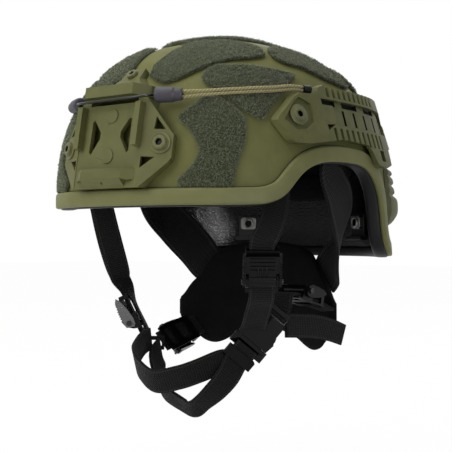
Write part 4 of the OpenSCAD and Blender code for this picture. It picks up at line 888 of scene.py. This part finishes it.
def box(low, high):
    """Corners of a box, the last coordinate changing quickest."""
    return np.stack(np.meshgrid(*zip(low, high), indexing="ij"), -1).reshape(-1, 3).astype(float)


def rail_slots(m):
    """The slits that cross the groove, and the three windows above them, as they look:
    wider than in the frame, because the photograph shows them wide and dark."""
    slits = [placed(on_rail(a, 70, 0), box([-6.2, -1.6, -12], [6.2, 1.6, 6]))
             for a in (-9.5, -2, 6, 14.5, 23.5, 32.5)]
    windows = [box([60, y0, 77.3], [150, y1, 81.8]) for y0, y1 in ((-35, -14), (-4, 20), (33, 56))]
    return [b * [m, 1, 1] for b in slits + windows]


SHARP = math.radians(32)


def softened_copy(node, width, material, body):
    """Copy of a CAD node with joined points, whole flat faces and a small bevel."""
    shape = bmesh.new()
    shape.from_mesh(frame["nodes"][node].data)
    bmesh.ops.remove_doubles(shape, verts=shape.verts, dist=2e-6)
    bmesh.ops.dissolve_limit(shape, angle_limit=math.radians(0.8), verts=shape.verts,
                             edges=shape.edges)
    mesh = bpy.data.meshes.new(node + "_edged")
    shape.to_mesh(mesh)
    shape.free()
    piece = bpy.data.objects.new(node + "_edged", mesh)
    bpy.context.scene.collection.objects.link(piece)
    piece.data.materials.clear()
    piece.data.materials.append(material)
    if node in ("rail_left", "rail_right"):
        wall = cut_out(piece, node + "_cutter", rail_slots(1 if node == "rail_left" else -1))
        # the slots' walls take the black of painted shade
        also(piece, slot_shade, wall)
    mesh = piece.data
    mesh.polygons.foreach_set("use_smooth", [True] * len(mesh.polygons))
    mesh.set_sharp_from_angle(angle=SHARP)
    bevel = piece.modifiers.new("edge radius", "BEVEL")
    bevel.width, bevel.segments = width * MM, 3
    bevel.limit_method, bevel.angle_limit = "ANGLE", SHARP
    bevel.use_clamp_overlap, bevel.harden_normals = True, True
    return finish(piece, None, body, node)


SPOTS = ("front_left", "front_right", "rear_left", "rear_right")
# the front right lever, with its roller and ribs, takes the grey acetal, a painted highlight
lever_finish = {spot: acetal_painted_highlight if spot == "front_right" else black_acetal for spot in SPOTS}
# each hard piece has the radius of its edges, in mm, and a material
edged = {
    "nvg_shroud": (0.8, alloy_coat), "rail_left": (0.35, moulded_nylon),
    "rail_right": (0.35, moulded_nylon), "mount_nuts": (0.2, zinc_steel),
    "strap_brackets": (0.25, coated_steel), "adjuster_pins": (0.12, coated_wire),
    "bungee_ferrules": (0.5, black_acetal), "chin_link": (0.4, black_acetal),
    "buckle_socket": (0.6, black_acetal), "buckle_plug": (0.35, black_acetal),
    "buckle_prong_front": (0.3, black_acetal), "buckle_prong_rear": (0.3, black_acetal),
    "strap_keeper": (0.35, webbing_nylon)}
for spot in SPOTS:
    edged["adjuster_frame_" + spot] = (0.35, black_acetal)
    edged["adjuster_lever_" + spot] = (0.3, lever_finish[spot])
bodies = frame["record"]["behaviour"]["bodies"]
body_of = {node: body for body, nodes in bodies.items() for node in nodes}
for node, (width, material) in edged.items():
    softened_copy(node, width, material, body_of[node])
print("softened copies", len(edged))

# %% [markdown]
# ## Screws and rivets
# The screws are what the eye counts on a shroud: a dished washer, a round head and a
# hexagon socket, dark with painted shade. All of that is one profile turned about the
# screw's axis, with the circle squeezed to a hexagon inside the socket. The frame gives
# each screw's place.

# %% Screws turned to size
HEAD = [(2.5, 0, 0), (7.6, 0, 0), (7.9, 0.3, 0), (7.9, 0.95, 0), (7.5, 1.25, 0), (6.3, 1.15, 0),
        (5.7, 0.95, 0), (5.3, 1.25, 0), (5.2, 3.1, 0), (4.9, 3.7, 0), (4.2, 4.05, 0),
        (3.2, 4.1, 0), (2.75, 3.85, 1), (2.45, 3.5, 1), (2.45, 1.7, 1)]
BOSS = [(2.5, 0.1, 0), (7.9, 0.1, 0), (8.2, 0.5, 0), (8.2, 1.3, 0), (7.7, 1.75, 0),
        (5.6, 1.85, 0), (5.2, 2.05, 0), (5.0, 2.8, 0), (4.4, 3.1, 0), (3.3, 3.15, 0),
        (2.7, 2.9, 1), (2.4, 2.5, 1), (2.4, 1.0, 1)]
SMALL = [(2.5, 0, 0), (4.4, 0, 0), (4.45, 0.5, 0), (4.2, 1.7, 0), (3.7, 2.3, 0), (2.6, 2.4, 0),
         (2.2, 2.2, 1), (2.0, 1.9, 1), (2.0, 0.7, 1)]
# the wing starts at its fold and is swept back, and its screw sits this far out on it
WING_FOLD, WING_SWEEP, WING_SCREW = 32, 22, 14.344
# the rail's bolts: Y and Z of each, and how deep they are set into the rail's face
LOBE_Y, LOBE_Z, TAIL_Y, TAIL_Z, BOLT_SEAT = -60.51, 67, 99.8, 70, 2.4
SHANK, PAST_LINING = 2.5, 4.55


def in_wing(p):
    return placed(SHROUD, placed(([WING_FOLD, 0, 0], [0, WING_SWEEP, 0]), p + [WING_SCREW, 0, 0]))


def in_lug(p):
    return placed((LUG_AT, [90 - LUG_TURN, 0, 0]), p)


def in_rail(y, z):
    """Maker of points for a bolt at one place of the rail."""
    return lambda p: placed(on_rail(rail_angle(y, z, BOLT_SEAT), z, BOLT_SEAT), p)


for name, node, place, profile, hands in (
        ("wing_screw", "shroud_screws", in_wing, HEAD, ("left", "right")),
        ("lug_screw", "shroud_screws", in_lug, SMALL, ("middle",)),
        ("lobe_bolt", "rail_screws", in_rail(LOBE_Y, LOBE_Z), BOSS, ("left", "right")),
        ("tail_bolt", "rail_screws", in_rail(TAIL_Y, TAIL_Z), HEAD, ("left", "right"))):
    depth = to_lining(place) + PAST_LINING
    rows = [(SHANK, -depth, 0)] + profile
    for hand in hands:
        piece = lathe(name + "_" + hand, place, rows, mirror_x=hand == "right")
        finish(piece, screw_paint, "helmet", node)
        # the socket's rings and its floor take black as painted shade, and the shank's end does not
        dark = np.arange(len(piece.data.polygons)) // SIDES >= len(rows) - 3
        dark[-2] = False
        also(piece, black_acetal, dark)
    print(name, "reaches", round(depth, 1), "mm behind its seat")

# %% Rivets of the shroud
RIVET = [(5.2, 0.1, 0), (5.5, 0.15, 0), (5.55, 0.5, 0), (5.35, 0.8, 0), (4.9, 0.9, 0),
         (0.6, 0.95, 0)]
for k, y in enumerate((21.6, -9)):
    rivet = lathe("shroud_rivet_%d" % (k + 1), lambda p: placed(SHROUD, p + [0, y, 0]), RIVET)
    finish(rivet, alloy_coat, "helmet")

# %% Painted shade behind the slots of the rails: thin black sheets on the shell
for hand in ("left", "right"):
    for k, (a0, a1, z0, z1) in enumerate(((-18, 37, 61, 84), (17, 26, 36, 50))):
        a, z = np.meshgrid(np.linspace(a0, a1, 40), np.linspace(z0, z1, 12))
        near, far = (sided(on_dome(a, z, off), hand == "right") for off in (0.9, 0.3))
        finish(slab("rail_slot_shade_sheet_%s_%d" % (hand, k + 1), near, far), slot_shade, "helmet")
print("rail slot shade sheets", 4)

# %% [markdown]
# ## Nape guard
# The guard at the back is a ribbed moulding. Its ribs run level round the nape, so it is
# a profile of heights carried round the dome, standing out less towards its two ends.

# %% Nape guard
# heights and how far the face stands out there, as a share of GUARD_OUT
LINE = [[-13, 0.1], [-10.5, 0.6], [-7, 0.98], [-2, 1.3], [4, 1.35], [10, 1.25], [13.4, 0.8],
        [15.5, 1], [19, 0.97], [22, 0.7], [24, 0.92], [27.4, 0.88], [29.8, 0.62], [31.6, 0.84],
        [34, 0.78], [36, 0.3]]
GUARD_FROM, GUARD_TO, GUARD_OUT = 34, 146, 8
a = np.linspace(GUARD_FROM, GUARD_TO, 112)[:, None]
line = spline(LINE, 5)
share = (a - GUARD_FROM) / (GUARD_TO - GUARD_FROM)
full = np.minimum(1, 0.4 + 1.8 * np.sin(np.radians(180 * share)))
face = on_dome(a, line[:, 0], 1.0 + line[:, 1] * GUARD_OUT * full)
foot = on_dome(a, np.array([36.0, 27, 18, 0, -13]), 0.5)
guard = loft("nape_guard_moulding", np.concatenate([face, foot], 1))
guard.data.set_sharp_from_angle(angle=math.radians(40))
finish(guard, guard_nylon, "helmet", "nape_guard")

# %% [markdown]
# ## Bungee
# Two elastic cords run from the rails to the hook across the shroud, each folded in a
# hairpin, so that two strands show. A cord is a tube carried along its route, with a UV
# map for the braid. The cords stretch when the hook is pulled.


# %% Tubes
def tube(name, points, d, sides, ref):
    """Circle of sides points carried along a run, square to it."""
    way = along(points)
    side = unit(np.cross(way, ref))
    up = np.cross(side, way)
    k = 2 * math.pi * np.arange(sides)[None, :, None] / sides
    ring = points[:, None] + (side[:, None] * np.cos(k) + up[:, None] * np.sin(k)) * d / 2
    u = np.abs(np.arange(sides) / sides - 0.5) * 2 * math.pi * d / 20
    length = run_length(points) / 10
    return loft(name, ring, uv=np.stack(np.broadcast_arrays(u[None], length[:, None]), -1))


# an elastic runs from its rail to the hairpin in its sleeve and back, one strand below
CORD_THICK = 2.4
CORD_END_LEFT, CORD_END_RIGHT = [54.5, -124.5, 80], [-58.2, -124.1, 79]
CORD_LEFT = [
    [107.8, -48.7, 89.3], [104, -60, 89.3], [99, -72, 87.4], [94, -84, 86], [86, -95.5, 84.8],
    [77, -105.5, 83.7], [66, -115, 82.7], [58, -122.7, 82.2], [54.5, -124.5, 82],
    [53.2, -125.1, 81.4], [52.7, -125.4, 80], [53.2, -125.1, 78.6], [54.5, -124.5, 78],
    [58, -122.7, 78.4], [66, -115, 79.8], [77, -105.5, 81], [86, -95.5, 82.1], [94, -84, 83.4],
    [99, -72, 84.8], [104, -60, 86.7], [107.8, -48.7, 86.7]]
CORD_RIGHT = [
    [-107.8, -48.7, 89.3], [-104, -60, 89.3], [-99, -72, 87.4], [-94, -84, 86],
    [-86, -95.5, 84.8], [-77, -105.5, 83.5], [-68, -114.2, 82.1], [-61.8, -122.3, 81.2],
    [-58.2, -124.1, 81], [-56.9, -124.7, 80.4], [-56.4, -125, 79], [-56.9, -124.7, 77.6],
    [-58.2, -124.1, 77], [-61.8, -122.3, 77.4], [-68, -114.2, 79.2], [-77, -105.5, 80.8],
    [-86, -95.5, 82.1], [-94, -84, 83.4], [-99, -72, 84.8], [-104, -60, 86.7],
    [-107.8, -48.7, 86.7]]
for hand, route, ref in (("left", CORD_LEFT, [0.7, -0.7, 0]),
                         ("right", CORD_RIGHT, [0.7, 0.7, 0])):
    run = spline(route, 6)
    piece = tube("elastic_cord_" + hand, run, CORD_THICK, 12, ref)
    piece.data.materials.append(elastic_braid)
    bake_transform(piece)
    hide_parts("bungee_" + hand)
    length = float(run_length(run)[-1]) * MM
    print("elastic cord", hand, "length in mm", round(length * 1000))

# %% Sleeves
# A sleeve is turned: a barrel that narrows to a collar where the strands go in, with a
# bore at either end for the wire and for the strands.
SLEEVE = [(1.35, 10, 0), (1.35, 0.3, 0), (1.8, 0, 0), (4.5, 0, 0), (5.2, 0.4, 0), (5.7, 1.4, 0),
          (5.8, 3, 0), (5.7, 9, 0), (5.5, 13.2, 0), (5.2, 14.4, 0), (4.75, 14.8, 0),
          (4.65, 15.4, 0), (4.6, 19, 0), (4.3, 20.2, 0), (3.9, 20.5, 0), (3.4, 20.5, 0),
          (3.2, 20, 0), (3.2, 12.5, 0)]
SLEEVE_LONG = 20.5
for hand, end, yaw in (("left", CORD_END_LEFT, 26.6), ("right", CORD_END_RIGHT, 153.4)):
    way = turned([0, 90, yaw], [0, 0, 1])
    place = (np.array(end) - SLEEVE_LONG * way, [0, 90, yaw])
    sleeve = lathe("moulded_sleeve_" + hand, lambda p: placed(place, p), SLEEVE)
    finish(sleeve, grey_vinyl, "bungee_hook", "bungee_sleeve_" + hand)
    print("sleeve", hand, "from", place[0].round(1).tolist())

# %% Hook wire
WIRE = [
    [44, -129.8, 80], [38, -132.8, 80], [36, -133.8, 80], [35.3, -137, 79.7], [34, -141.5, 78.9],
    [28, -145.3, 78.1], [16, -147, 77.7], [0, -147.5, 77.5], [-16, -147, 77.5],
    [-28, -145.3, 77.6], [-35.3, -141.2, 78.2], [-38.6, -136.6, 78.8], [-39.8, -133.4, 79],
    [-42, -132.3, 79], [-48, -129.3, 79]]
hook = tube("hook_wire_bent", spline(WIRE, 8), 2.0, 14, [0, 0, 1])
finish(hook, coated_wire, "bungee_hook", "bungee_hook")

# %% [markdown]
# ## Comfort pads
# The pads are foam in a knitted cover, stuck to the lining. Each is fullest in its middle
# and drawn in at its edges, with one sewn channel. A formula gives that swelling straight
# away: the thickness falls off with the fourth power towards the edges, less a narrow
# dip along the channel.

# %% Pads
PAD, PAD_BACK = 17.0, -WALL - 1.05


def wall_pad(a0, a1, z0, z1):
    """Two grids on the lining: the back one on it, the front one swollen off it."""
    u, v = np.meshgrid(np.linspace(-1, 1, 44), np.linspace(-1, 1, 44))
    soft = PAD * (0.42 + 0.58 * (1 - u**4) * (1 - v**4) - 0.16 * np.exp(-((v / 0.12) ** 2)))
    soft = soft * rounded(np.minimum(1 - np.abs(u), 1 - np.abs(v)), 0.14) + 0.6
    a = a0 + (a1 - a0) * (0.5 + u / 2 * (1 - 0.14 * v**4))
    z = z0 + (z1 - z0) * (0.5 + v / 2 * (1 - 0.1 * u**4))
    return on_dome(a, z, PAD_BACK), on_dome(a, z, PAD_BACK - soft)


def add_pad(name, back, front, mirror_x=False):
    piece = slab(name + "_cushion", sided(back, mirror_x), sided(front, mirror_x))
    finish(piece, pad_mesh, "helmet", name)


# a wall pad lies between two plan angles and two heights
add_pad("pad_front", *wall_pad(-103, -77, 14, 60))
add_pad("pad_rear", *wall_pad(76, 104, 12, 62))
for key, spans in {"front": (-67, -44, 22, 70), "rear": (13, 41, 50, 94)}.items():
    add_pad("pad_" + key + "_left", *wall_pad(*spans))
    add_pad("pad_" + key + "_right", *wall_pad(*spans), mirror_x=True)

# the crown pad is a square grid drawn out to an oval of 92 by 108 mm
u, v = np.meshgrid(np.linspace(-1, 1, 56), np.linspace(-1, 1, 56))
x, y = 46 * u * np.sqrt(1 - v**2 / 2), 54 * v * np.sqrt(1 - u**2 / 2)
most = np.maximum(np.abs(u), np.abs(v))
full = 0.42 + 0.58 * (1 - most**4) - 0.14 * np.exp(-((v / 0.12) ** 2))
full = full * rounded(1 - most, 0.14) + 0.04
add_pad("pad_crown", over_dome(x, y, PAD_BACK), over_dome(x, y, PAD_BACK - PAD * full))
print("comfort pads", 7)

# %% [markdown]
# ## Webbing
# A strap is a flat section with rounded edges carried along its stations. A station has a
# centre, the direction in which the strap is wide there, and sometimes a share of the
# full width. Straps are modelled directly and not simulated, because a cloth solver
# would round off their crisp edges.


# %% Places of the hard pieces that the straps pass
FRONT_LEFT = ([89, -75, -46], [115, 0, 37.3])
FRONT_RIGHT = ([-82, -24, -88], [115.5, 0, -53])
REAR_LEFT = ([71, 2, -75], [-14, 0, 0])
REAR_RIGHT = ([-61, 10, -107], [157, -52, 197.3])
BUCKLE = ([59.6, -46.8, -103.4], [90, 40, 37.3])
STRAP_RISE, LOOP_Y = 3.2, 26.0
# a bracket's plan angle and height on the lining, and how far off the lining it lies
FRONT_ANCHOR, YOKE_ANCHOR, FAR_YOKE_ANCHOR, REAR_ANCHOR = (-34, 46.8), (-3, 57), (5, 57), (62, -12)
BRACKET_OFF = 1.5


def bracket_place(a, z):
    """Place and turn of a bracket that lies on the lining."""
    lean = lean_between(float(plan_radius(a, -WALL)), z - 6, z + 6, -WALL)
    return on_dome(a, z, -WALL - BRACKET_OFF), [90 + lean, 0, heading(a) - 90]


# rows of half width, half height, distance off the bracket and roundness of a plated nut
NUT = np.array([[7.7, 5.9, 1.5, 7], [7.8, 6.0, 4.2, 7], [7.3, 5.5, 4.75, 6], [5.0, 4.9, 4.8, 2],
                [4.7, 4.7, 5.5, 2], [4.0, 4.0, 5.8, 2], [3.2, 3.2, 5.6, 2], [3.0, 3.0, 2.2, 2]])
NUT_UP, NUT_SHADE_FROM = 2.9, 6


def bracket_plate(name, anchor, mirror_x):
    """Plated nut on a bracket: a rounded square, then a round rim, then a hole. A ring's
    radius is the power mean that rounds a square, and the power falls to 2 for a circle."""
    k = 2 * math.pi * np.arange(SIDES)[None] / SIDES
    wide_half, high_half, h, power = NUT.T[:, :, None]
    r = np.abs(np.cos(k) / wide_half) ** power + np.abs(np.sin(k) / high_half) ** power
    r = r ** (-1 / power)
    ring = np.stack([r * np.cos(k), r * np.sin(k) + NUT_UP, h + 0 * k], -1)
    plate = loft(name, sided(placed(bracket_place(*anchor), ring), mirror_x))
    plate.data.set_sharp_from_angle(angle=math.radians(35))
    # the hole's walls and floor take black as painted shade, and the back of the nut does not
    dark = np.arange(len(plate.data.polygons)) // SIDES >= NUT_SHADE_FROM
    dark[-2] = False
    finish(plate, zinc_steel, "helmet")
    also(plate, black_acetal, dark)


anchors = ((FRONT_ANCHOR, False), (YOKE_ANCHOR, False), (REAR_ANCHOR, False),
           (FRONT_ANCHOR, True), (FAR_YOKE_ANCHOR, True), (REAR_ANCHOR, True))
for k, (anchor, mirrored) in enumerate(anchors):
    bracket_plate("bracket_nut_%d" % (k + 1), anchor, mirrored)
print("bracket nuts", len(anchors))


def hung(anchor):
    """First stations of a strap that hangs from a bracket."""
    place = bracket_place(*anchor)
    across = turned(place[1], [-1, 0, 0])
    return [[placed(place, [0, y, 3.5]), across, 1] for y in (-5, -11, -16)]


def wide(place):
    return turned(place[1], [1, 0, 0])


# %% Straps
def section(t, r, n=4, across=9):
    """Round one flat section: side (-1 to 1), how far past that side, and height.
    Quarter circles turn the corners, and points between them keep a twisted face even."""
    k = np.radians(np.linspace(0, 90, n))
    past, up = r * np.sin(k) - r, t / 2 - r + r * np.cos(k)
    flat = np.linspace(-1, 1, across)[1:-1]
    side = np.concatenate([flat, np.ones(2 * n), -flat, -np.ones(2 * n)])
    over = np.concatenate([0 * flat, past, past[::-1], 0 * flat, -past, -past[::-1]])
    high = np.concatenate([0 * flat + t / 2, up, -up[::-1], 0 * flat - t / 2, -up, up[::-1]])
    return side, over, high


def strap(name, node, stations, w=19.0, t=2.4):
    """Band along smooth curves through its stations, with its width kept square to the
    run. Where a node is given, the band rides the helmet and stands for that node."""
    mid = spline([s[0] for s in stations], 10)
    wide_way = spline([s[1] for s in stations], 10)
    share = spline([s[2] if len(s) > 2 else 1 for s in stations], 10)
    way = along(mid)
    face = unit(np.cross(way, wide_way))
    side = np.cross(face, way)
    x, past, y = section(t, min(0.55, t / 2 - 0.05))
    aside = x[:, None] * (w * share / 2)[:, None, :] + past[:, None]
    ring = mid[:, None] + side[:, None] * aside + face[:, None] * y[:, None]
    u = (x * w / 2 + past) / 10
    uv = np.stack(np.broadcast_arrays(u[None], run_length(mid)[:, None] / 10), -1)
    piece = loft(name, ring, uv=uv)
    piece.data.materials.append(webbing_nylon)
    if node:
        finish(piece, None, "helmet", node)
    print(name, "length in mm", round(float(run_length(mid)[-1])))
    return piece


def flip(stations):
    """Mirror image of a run of stations."""
    m = np.array([-1, 1, 1])
    return [[np.array(s[0]) * m, np.array(s[1]) * m, *s[2:]] for s in stations]


def through(place, ys, way):
    """Stations through an adjuster, at distances along its frame."""
    return [[placed(place, [0, y, STRAP_RISE]), way] for y in ys]


# the straps of the cheek are wide the way that the camera's right points
cheek = [0.795, 0.606, 0]
strap("front_strap_left_web", "front_strap_left", hung(FRONT_ANCHOR) + [
    [[97.5, -67, 12], [0.62, 0.78, 0]], [[99.5, -74.5, -6], [0.72, 0.69, 0]],
    [[98.5, -81, -19.5], [0.78, 0.63, 0]]] + through(FRONT_LEFT, (21, 0, -21), wide(FRONT_LEFT)) + [
    [[78, -63, -75.5], cheek], [[71, -57.5, -84.5], cheek],
    [placed(BUCKLE, [-6.2, 9, 5.8]), cheek]])
strap("front_strap_right_web", "front_strap_right", flip(hung(FRONT_ANCHOR)) + [
    [[-96, -60, 21], [0.3, 0.95, 0]], [[-98, -51, 4], [0.72, 0.69, 0]],
    [[-97.5, -45, -14], [0.78, 0.62, 0]], [[-95, -40, -34], [0.7, 0.71, 0]],
    [[-92.5, -35, -54], [0.45, 0.89, 0]]] + through(FRONT_RIGHT, (21, 0, -21), -wide(FRONT_RIGHT)))
strap("front_strap_right_return", "front_strap_right", [
    [[-101.5, -50.5, 6], [0.78, 0.62, 0]], [[-101.5, -44.5, -14], [0.78, 0.62, 0]],
    [[-99, -39.5, -34], [0.72, 0.69, 0]], [[-94.5, -34, -54], [0.5, 0.86, 0]],
    [placed(FRONT_RIGHT, [0, 24, -2.2]), [-0.1, 0.99, 0]]]
    + [[placed(FRONT_RIGHT, [0, y, -1.9]), [-0.6, 0.8, 0]] for y in (8, -12, -22)],
    w=18.0, t=1.8)
strap("nape_arm_left_web", "nape_arm_left", hung(YOKE_ANCHOR) + [
    [[105.5, -6, 28], [0, 1, 0.1], 1.5], [[104.5, 10, 8], [-0.05, 0.95, 0.25], 2],
    [[98, 26, -13], [-0.15, 0.8, 0.5], 2.1], [[86, 37, -34], [-0.35, 0.6, 0.7], 2],
    [[72.5, 46.9, -48.3], [-0.57, 0.2, 0.79], 1.9],
    [[64.5, 52.1, -56.5], [-0.57, 0.165, 0.8], 1.8]])
strap("nape_arm_right_web", "nape_arm_right", flip(hung(FAR_YOKE_ANCHOR) + [
    [[107, 15, 28], [0, 0.9, 0.3], 1.5], [[106, 29, 7], [-0.05, 0.85, 0.5], 2],
    [[97.5, 47, -12.5], [-0.3, 0.7, 0.6], 2], [[81, 56, -32.5], [-0.5, 0.4, 0.75], 1.9],
    [[69, 56, -44.5], [-0.5, 0.2, 0.85], 1.9], [[57, 54.9, -53], [-0.5, 0.132, 0.85], 1.8]]))

# %% Rollers and finger ribs of the levers
ROLLER = [[x, -2.6, 11.4] for x in (-9.6, -9.3, 0, 9.3, 9.6)]
for spot, place in zip(SPOTS, (FRONT_LEFT, FRONT_RIGHT, REAR_LEFT, REAR_RIGHT)):
    bars = [tube("lever_roller_" + spot, placed(place, ROLLER), 4.6, 16,
                 turned(place[1], [0, 0, 1]))]
    for k, x in enumerate((-3, 0, 3)):
        rib = spline([[x, 0.4, 11.6], [x, 1, 12.6], [x, 6.2, 12.9], [x, 6.8, 12]], 3)
        bars.append(tube("lever_rib_%s_%d" % (spot, k + 1), placed(place, rib), 1.5, 10,
                         wide(place)))
    for bar in bars:
        finish(bar, lever_finish[spot], "lever_" + spot)
print("rollers 4, finger ribs 12")

# %% Rear and chin straps
chin = wide(BUCKLE)


def on_buckle(*places):
    """Stations given in the buckle's own frame."""
    return [[placed(BUCKLE, p), chin] for p in places]


strap("rear_strap_left_web", "rear_strap_left",
      on_buckle([0, LOOP_Y + 2.1, 3.2], [0, LOOP_Y + 2.1, -1], [0, LOOP_Y + 2.4, -4.4],
                [0.5, LOOP_Y + 6, -8])
      + [[[71.3, -23, -70.5], [1, 0.1, 0]]] + through(REAR_LEFT, (-19, 0, 20), [1, 0, 0])
      + [[[77, 36, -83], [1, -0.2, 0]]])
strap("rear_strap_left_tail", "rear_strap_left", [
    [[74, -22, -92], [-0.1, 0.1, 1]], [[80.5, 8, -94.5], [0, -0.1, 1]],
    [[85, 27, -98.5], [0.05, 0.15, 1], 0.97], [[88, 42, -103.5], [0.1, 0.35, 0.93], 0.92]])
strap("rear_strap_right_web", "rear_strap_right",
      through(REAR_RIGHT, (-21.8, 0, 20, 29), wide(REAR_RIGHT)))
chin_upper = strap("chin_strap_upper_web", None, on_buckle(
    [0, -5.1, 1.4], [0, -5.15, -1.6], [0, -5.8, -3.6], [0, -8, -4.4], [0, -12.5, -4.1],
    [0, -20.5, -3.2]) + [
    [[44, -66, -118.5], [0.3, 0.5, -0.8]], [[33, -82, -125], [0.1, 0.4, -0.9]],
    [[22, -91, -129.5], [0, 0.3, -0.95]], [[4, -97, -133], [0, 0.3, -0.95]],
    [[-15, -93, -126], [0, 0.3, -0.95]], [[-32, -80, -120], [0, 0.3, -0.95]],
    [[-48, -60, -117], [0, 0.3, -0.95]], [[-60, -40, -113], [0, 0.3, -0.95]],
    [[-68.3, -21.1, -111], [0, 0.2, -0.95]]])
chin_lower = strap("chin_strap_lower_web", None, on_buckle(
    [0, -5, 3.9], [0, -11, 3.9], [0, -20, 3.6]) + [
    [placed(BUCKLE, [2, -31, 9]), [0.4, 0.5, -0.7]], [[45, -72, -138.5], [0.1, 0.6, -0.79]],
    [[35, -76, -148.5], [-0.3, 0.62, -0.72]], [[25, -77.5, -154.5], [-0.35, 0.62, -0.7]],
    [[13, -77, -151.5], [-0.35, 0.62, -0.7]], [[-10, -70, -145.5], [-0.3, 0.6, -0.74]],
    [[-30, -56, -138], [0.1, 0.45, -0.89]], [[-43, -41, -131], [0.45, 0.4, -0.8]],
    [[-52, -30, -125], [0.5, 0.35, -0.8]], [[-62, -15.6, -119.5], [0, 0.2, -0.95]]])
for piece, node in ((chin_upper, "chin_strap_upper"), (chin_lower, "chin_strap_lower")):
    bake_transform(piece)
    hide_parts(node)

# %% [markdown]
# ## Nape pad
# The pad behind the neck is a wide, soft plate with two lobes. Its outline is a list of
# columns, each with a foot and a top, smoothed into a curve, and its thickness swells
# like a cushion between them.

# %% Nape pad
# rows of a distance to the side, a foot and a top; the pad's half width is the last one
COLUMNS = [[0, -102, -26], [15, -105, -27], [30, -109, -29], [45, -117, -33], [55, -119, -39],
           [65, -115, -54], [73, -105, -64], [79, -99, -74], [84, -93, -80]]
HALF_SPAN, NAPE_THICK, CHANNEL_AT, CHANNEL_WIDE = COLUMNS[-1][0], 9, 33.6, 5.25
half = spline(COLUMNS, 6)
whole = np.concatenate([half[:0:-1] * [-1, 1, 1], half])
span = whole[:, 0]
v = np.linspace(-1, 1, 40)[:, None]
edge_part = 1 - np.abs(np.linspace(-1, 1, len(span))) ** 6
channel = np.exp(-(((np.abs(span) - CHANNEL_AT) / CHANNEL_WIDE) ** 2))
soft = NAPE_THICK * (0.4 + 0.6 * (1 - v**4) * edge_part - 0.15 * channel)
end_gap = np.minimum((1 - np.abs(v)) / 0.12, (HALF_SPAN + 0.2 - np.abs(span)) / 6)
soft = soft * rounded(end_gap, 1) + 0.5
z = whole[:, 1] + (whole[:, 2] - whole[:, 1]) * (v + 1) / 2
y = 60 - 20 * (span / 80) ** 2
rear_face = np.stack([span + 0 * z, y + soft / 2, z], -1)[:, ::-1]
front_face = np.stack([span + 0 * z, y - soft / 2, z], -1)[:, ::-1]
nape = slab("nape_pad_cushion", rear_face, front_face)
finish(nape, nape_tricot, "helmet", "nape_pad")
print("nape pad points", len(nape.data.vertices))

# %% Sewn binding round the nape pad
mid = (rear_face + front_face)[2:-2, 3:-3] / 2
border = np.concatenate([mid[0], mid[1:, -1], mid[-1, -2::-1], mid[-2:0:-1, 0]])
border = spline(np.concatenate([border[-2:], border, border[:2]]), 2)[4:-4]
way = unit(np.roll(border, -1, 0) - np.roll(border, 1, 0))
out = unit(np.cross(way, [0, 1, 0]))
k = 2 * math.pi * np.arange(10)[None, :, None] / 10
binding = loft("nape_pad_binding", border[:, None] + out[:, None] * np.cos(k) * 1.7
               + np.cross(out, way)[:, None] * np.sin(k) * 2.4, ring=True)
finish(binding, webbing_nylon, "helmet")
print("binding in mm", round(float(run_length(border)[-1])))
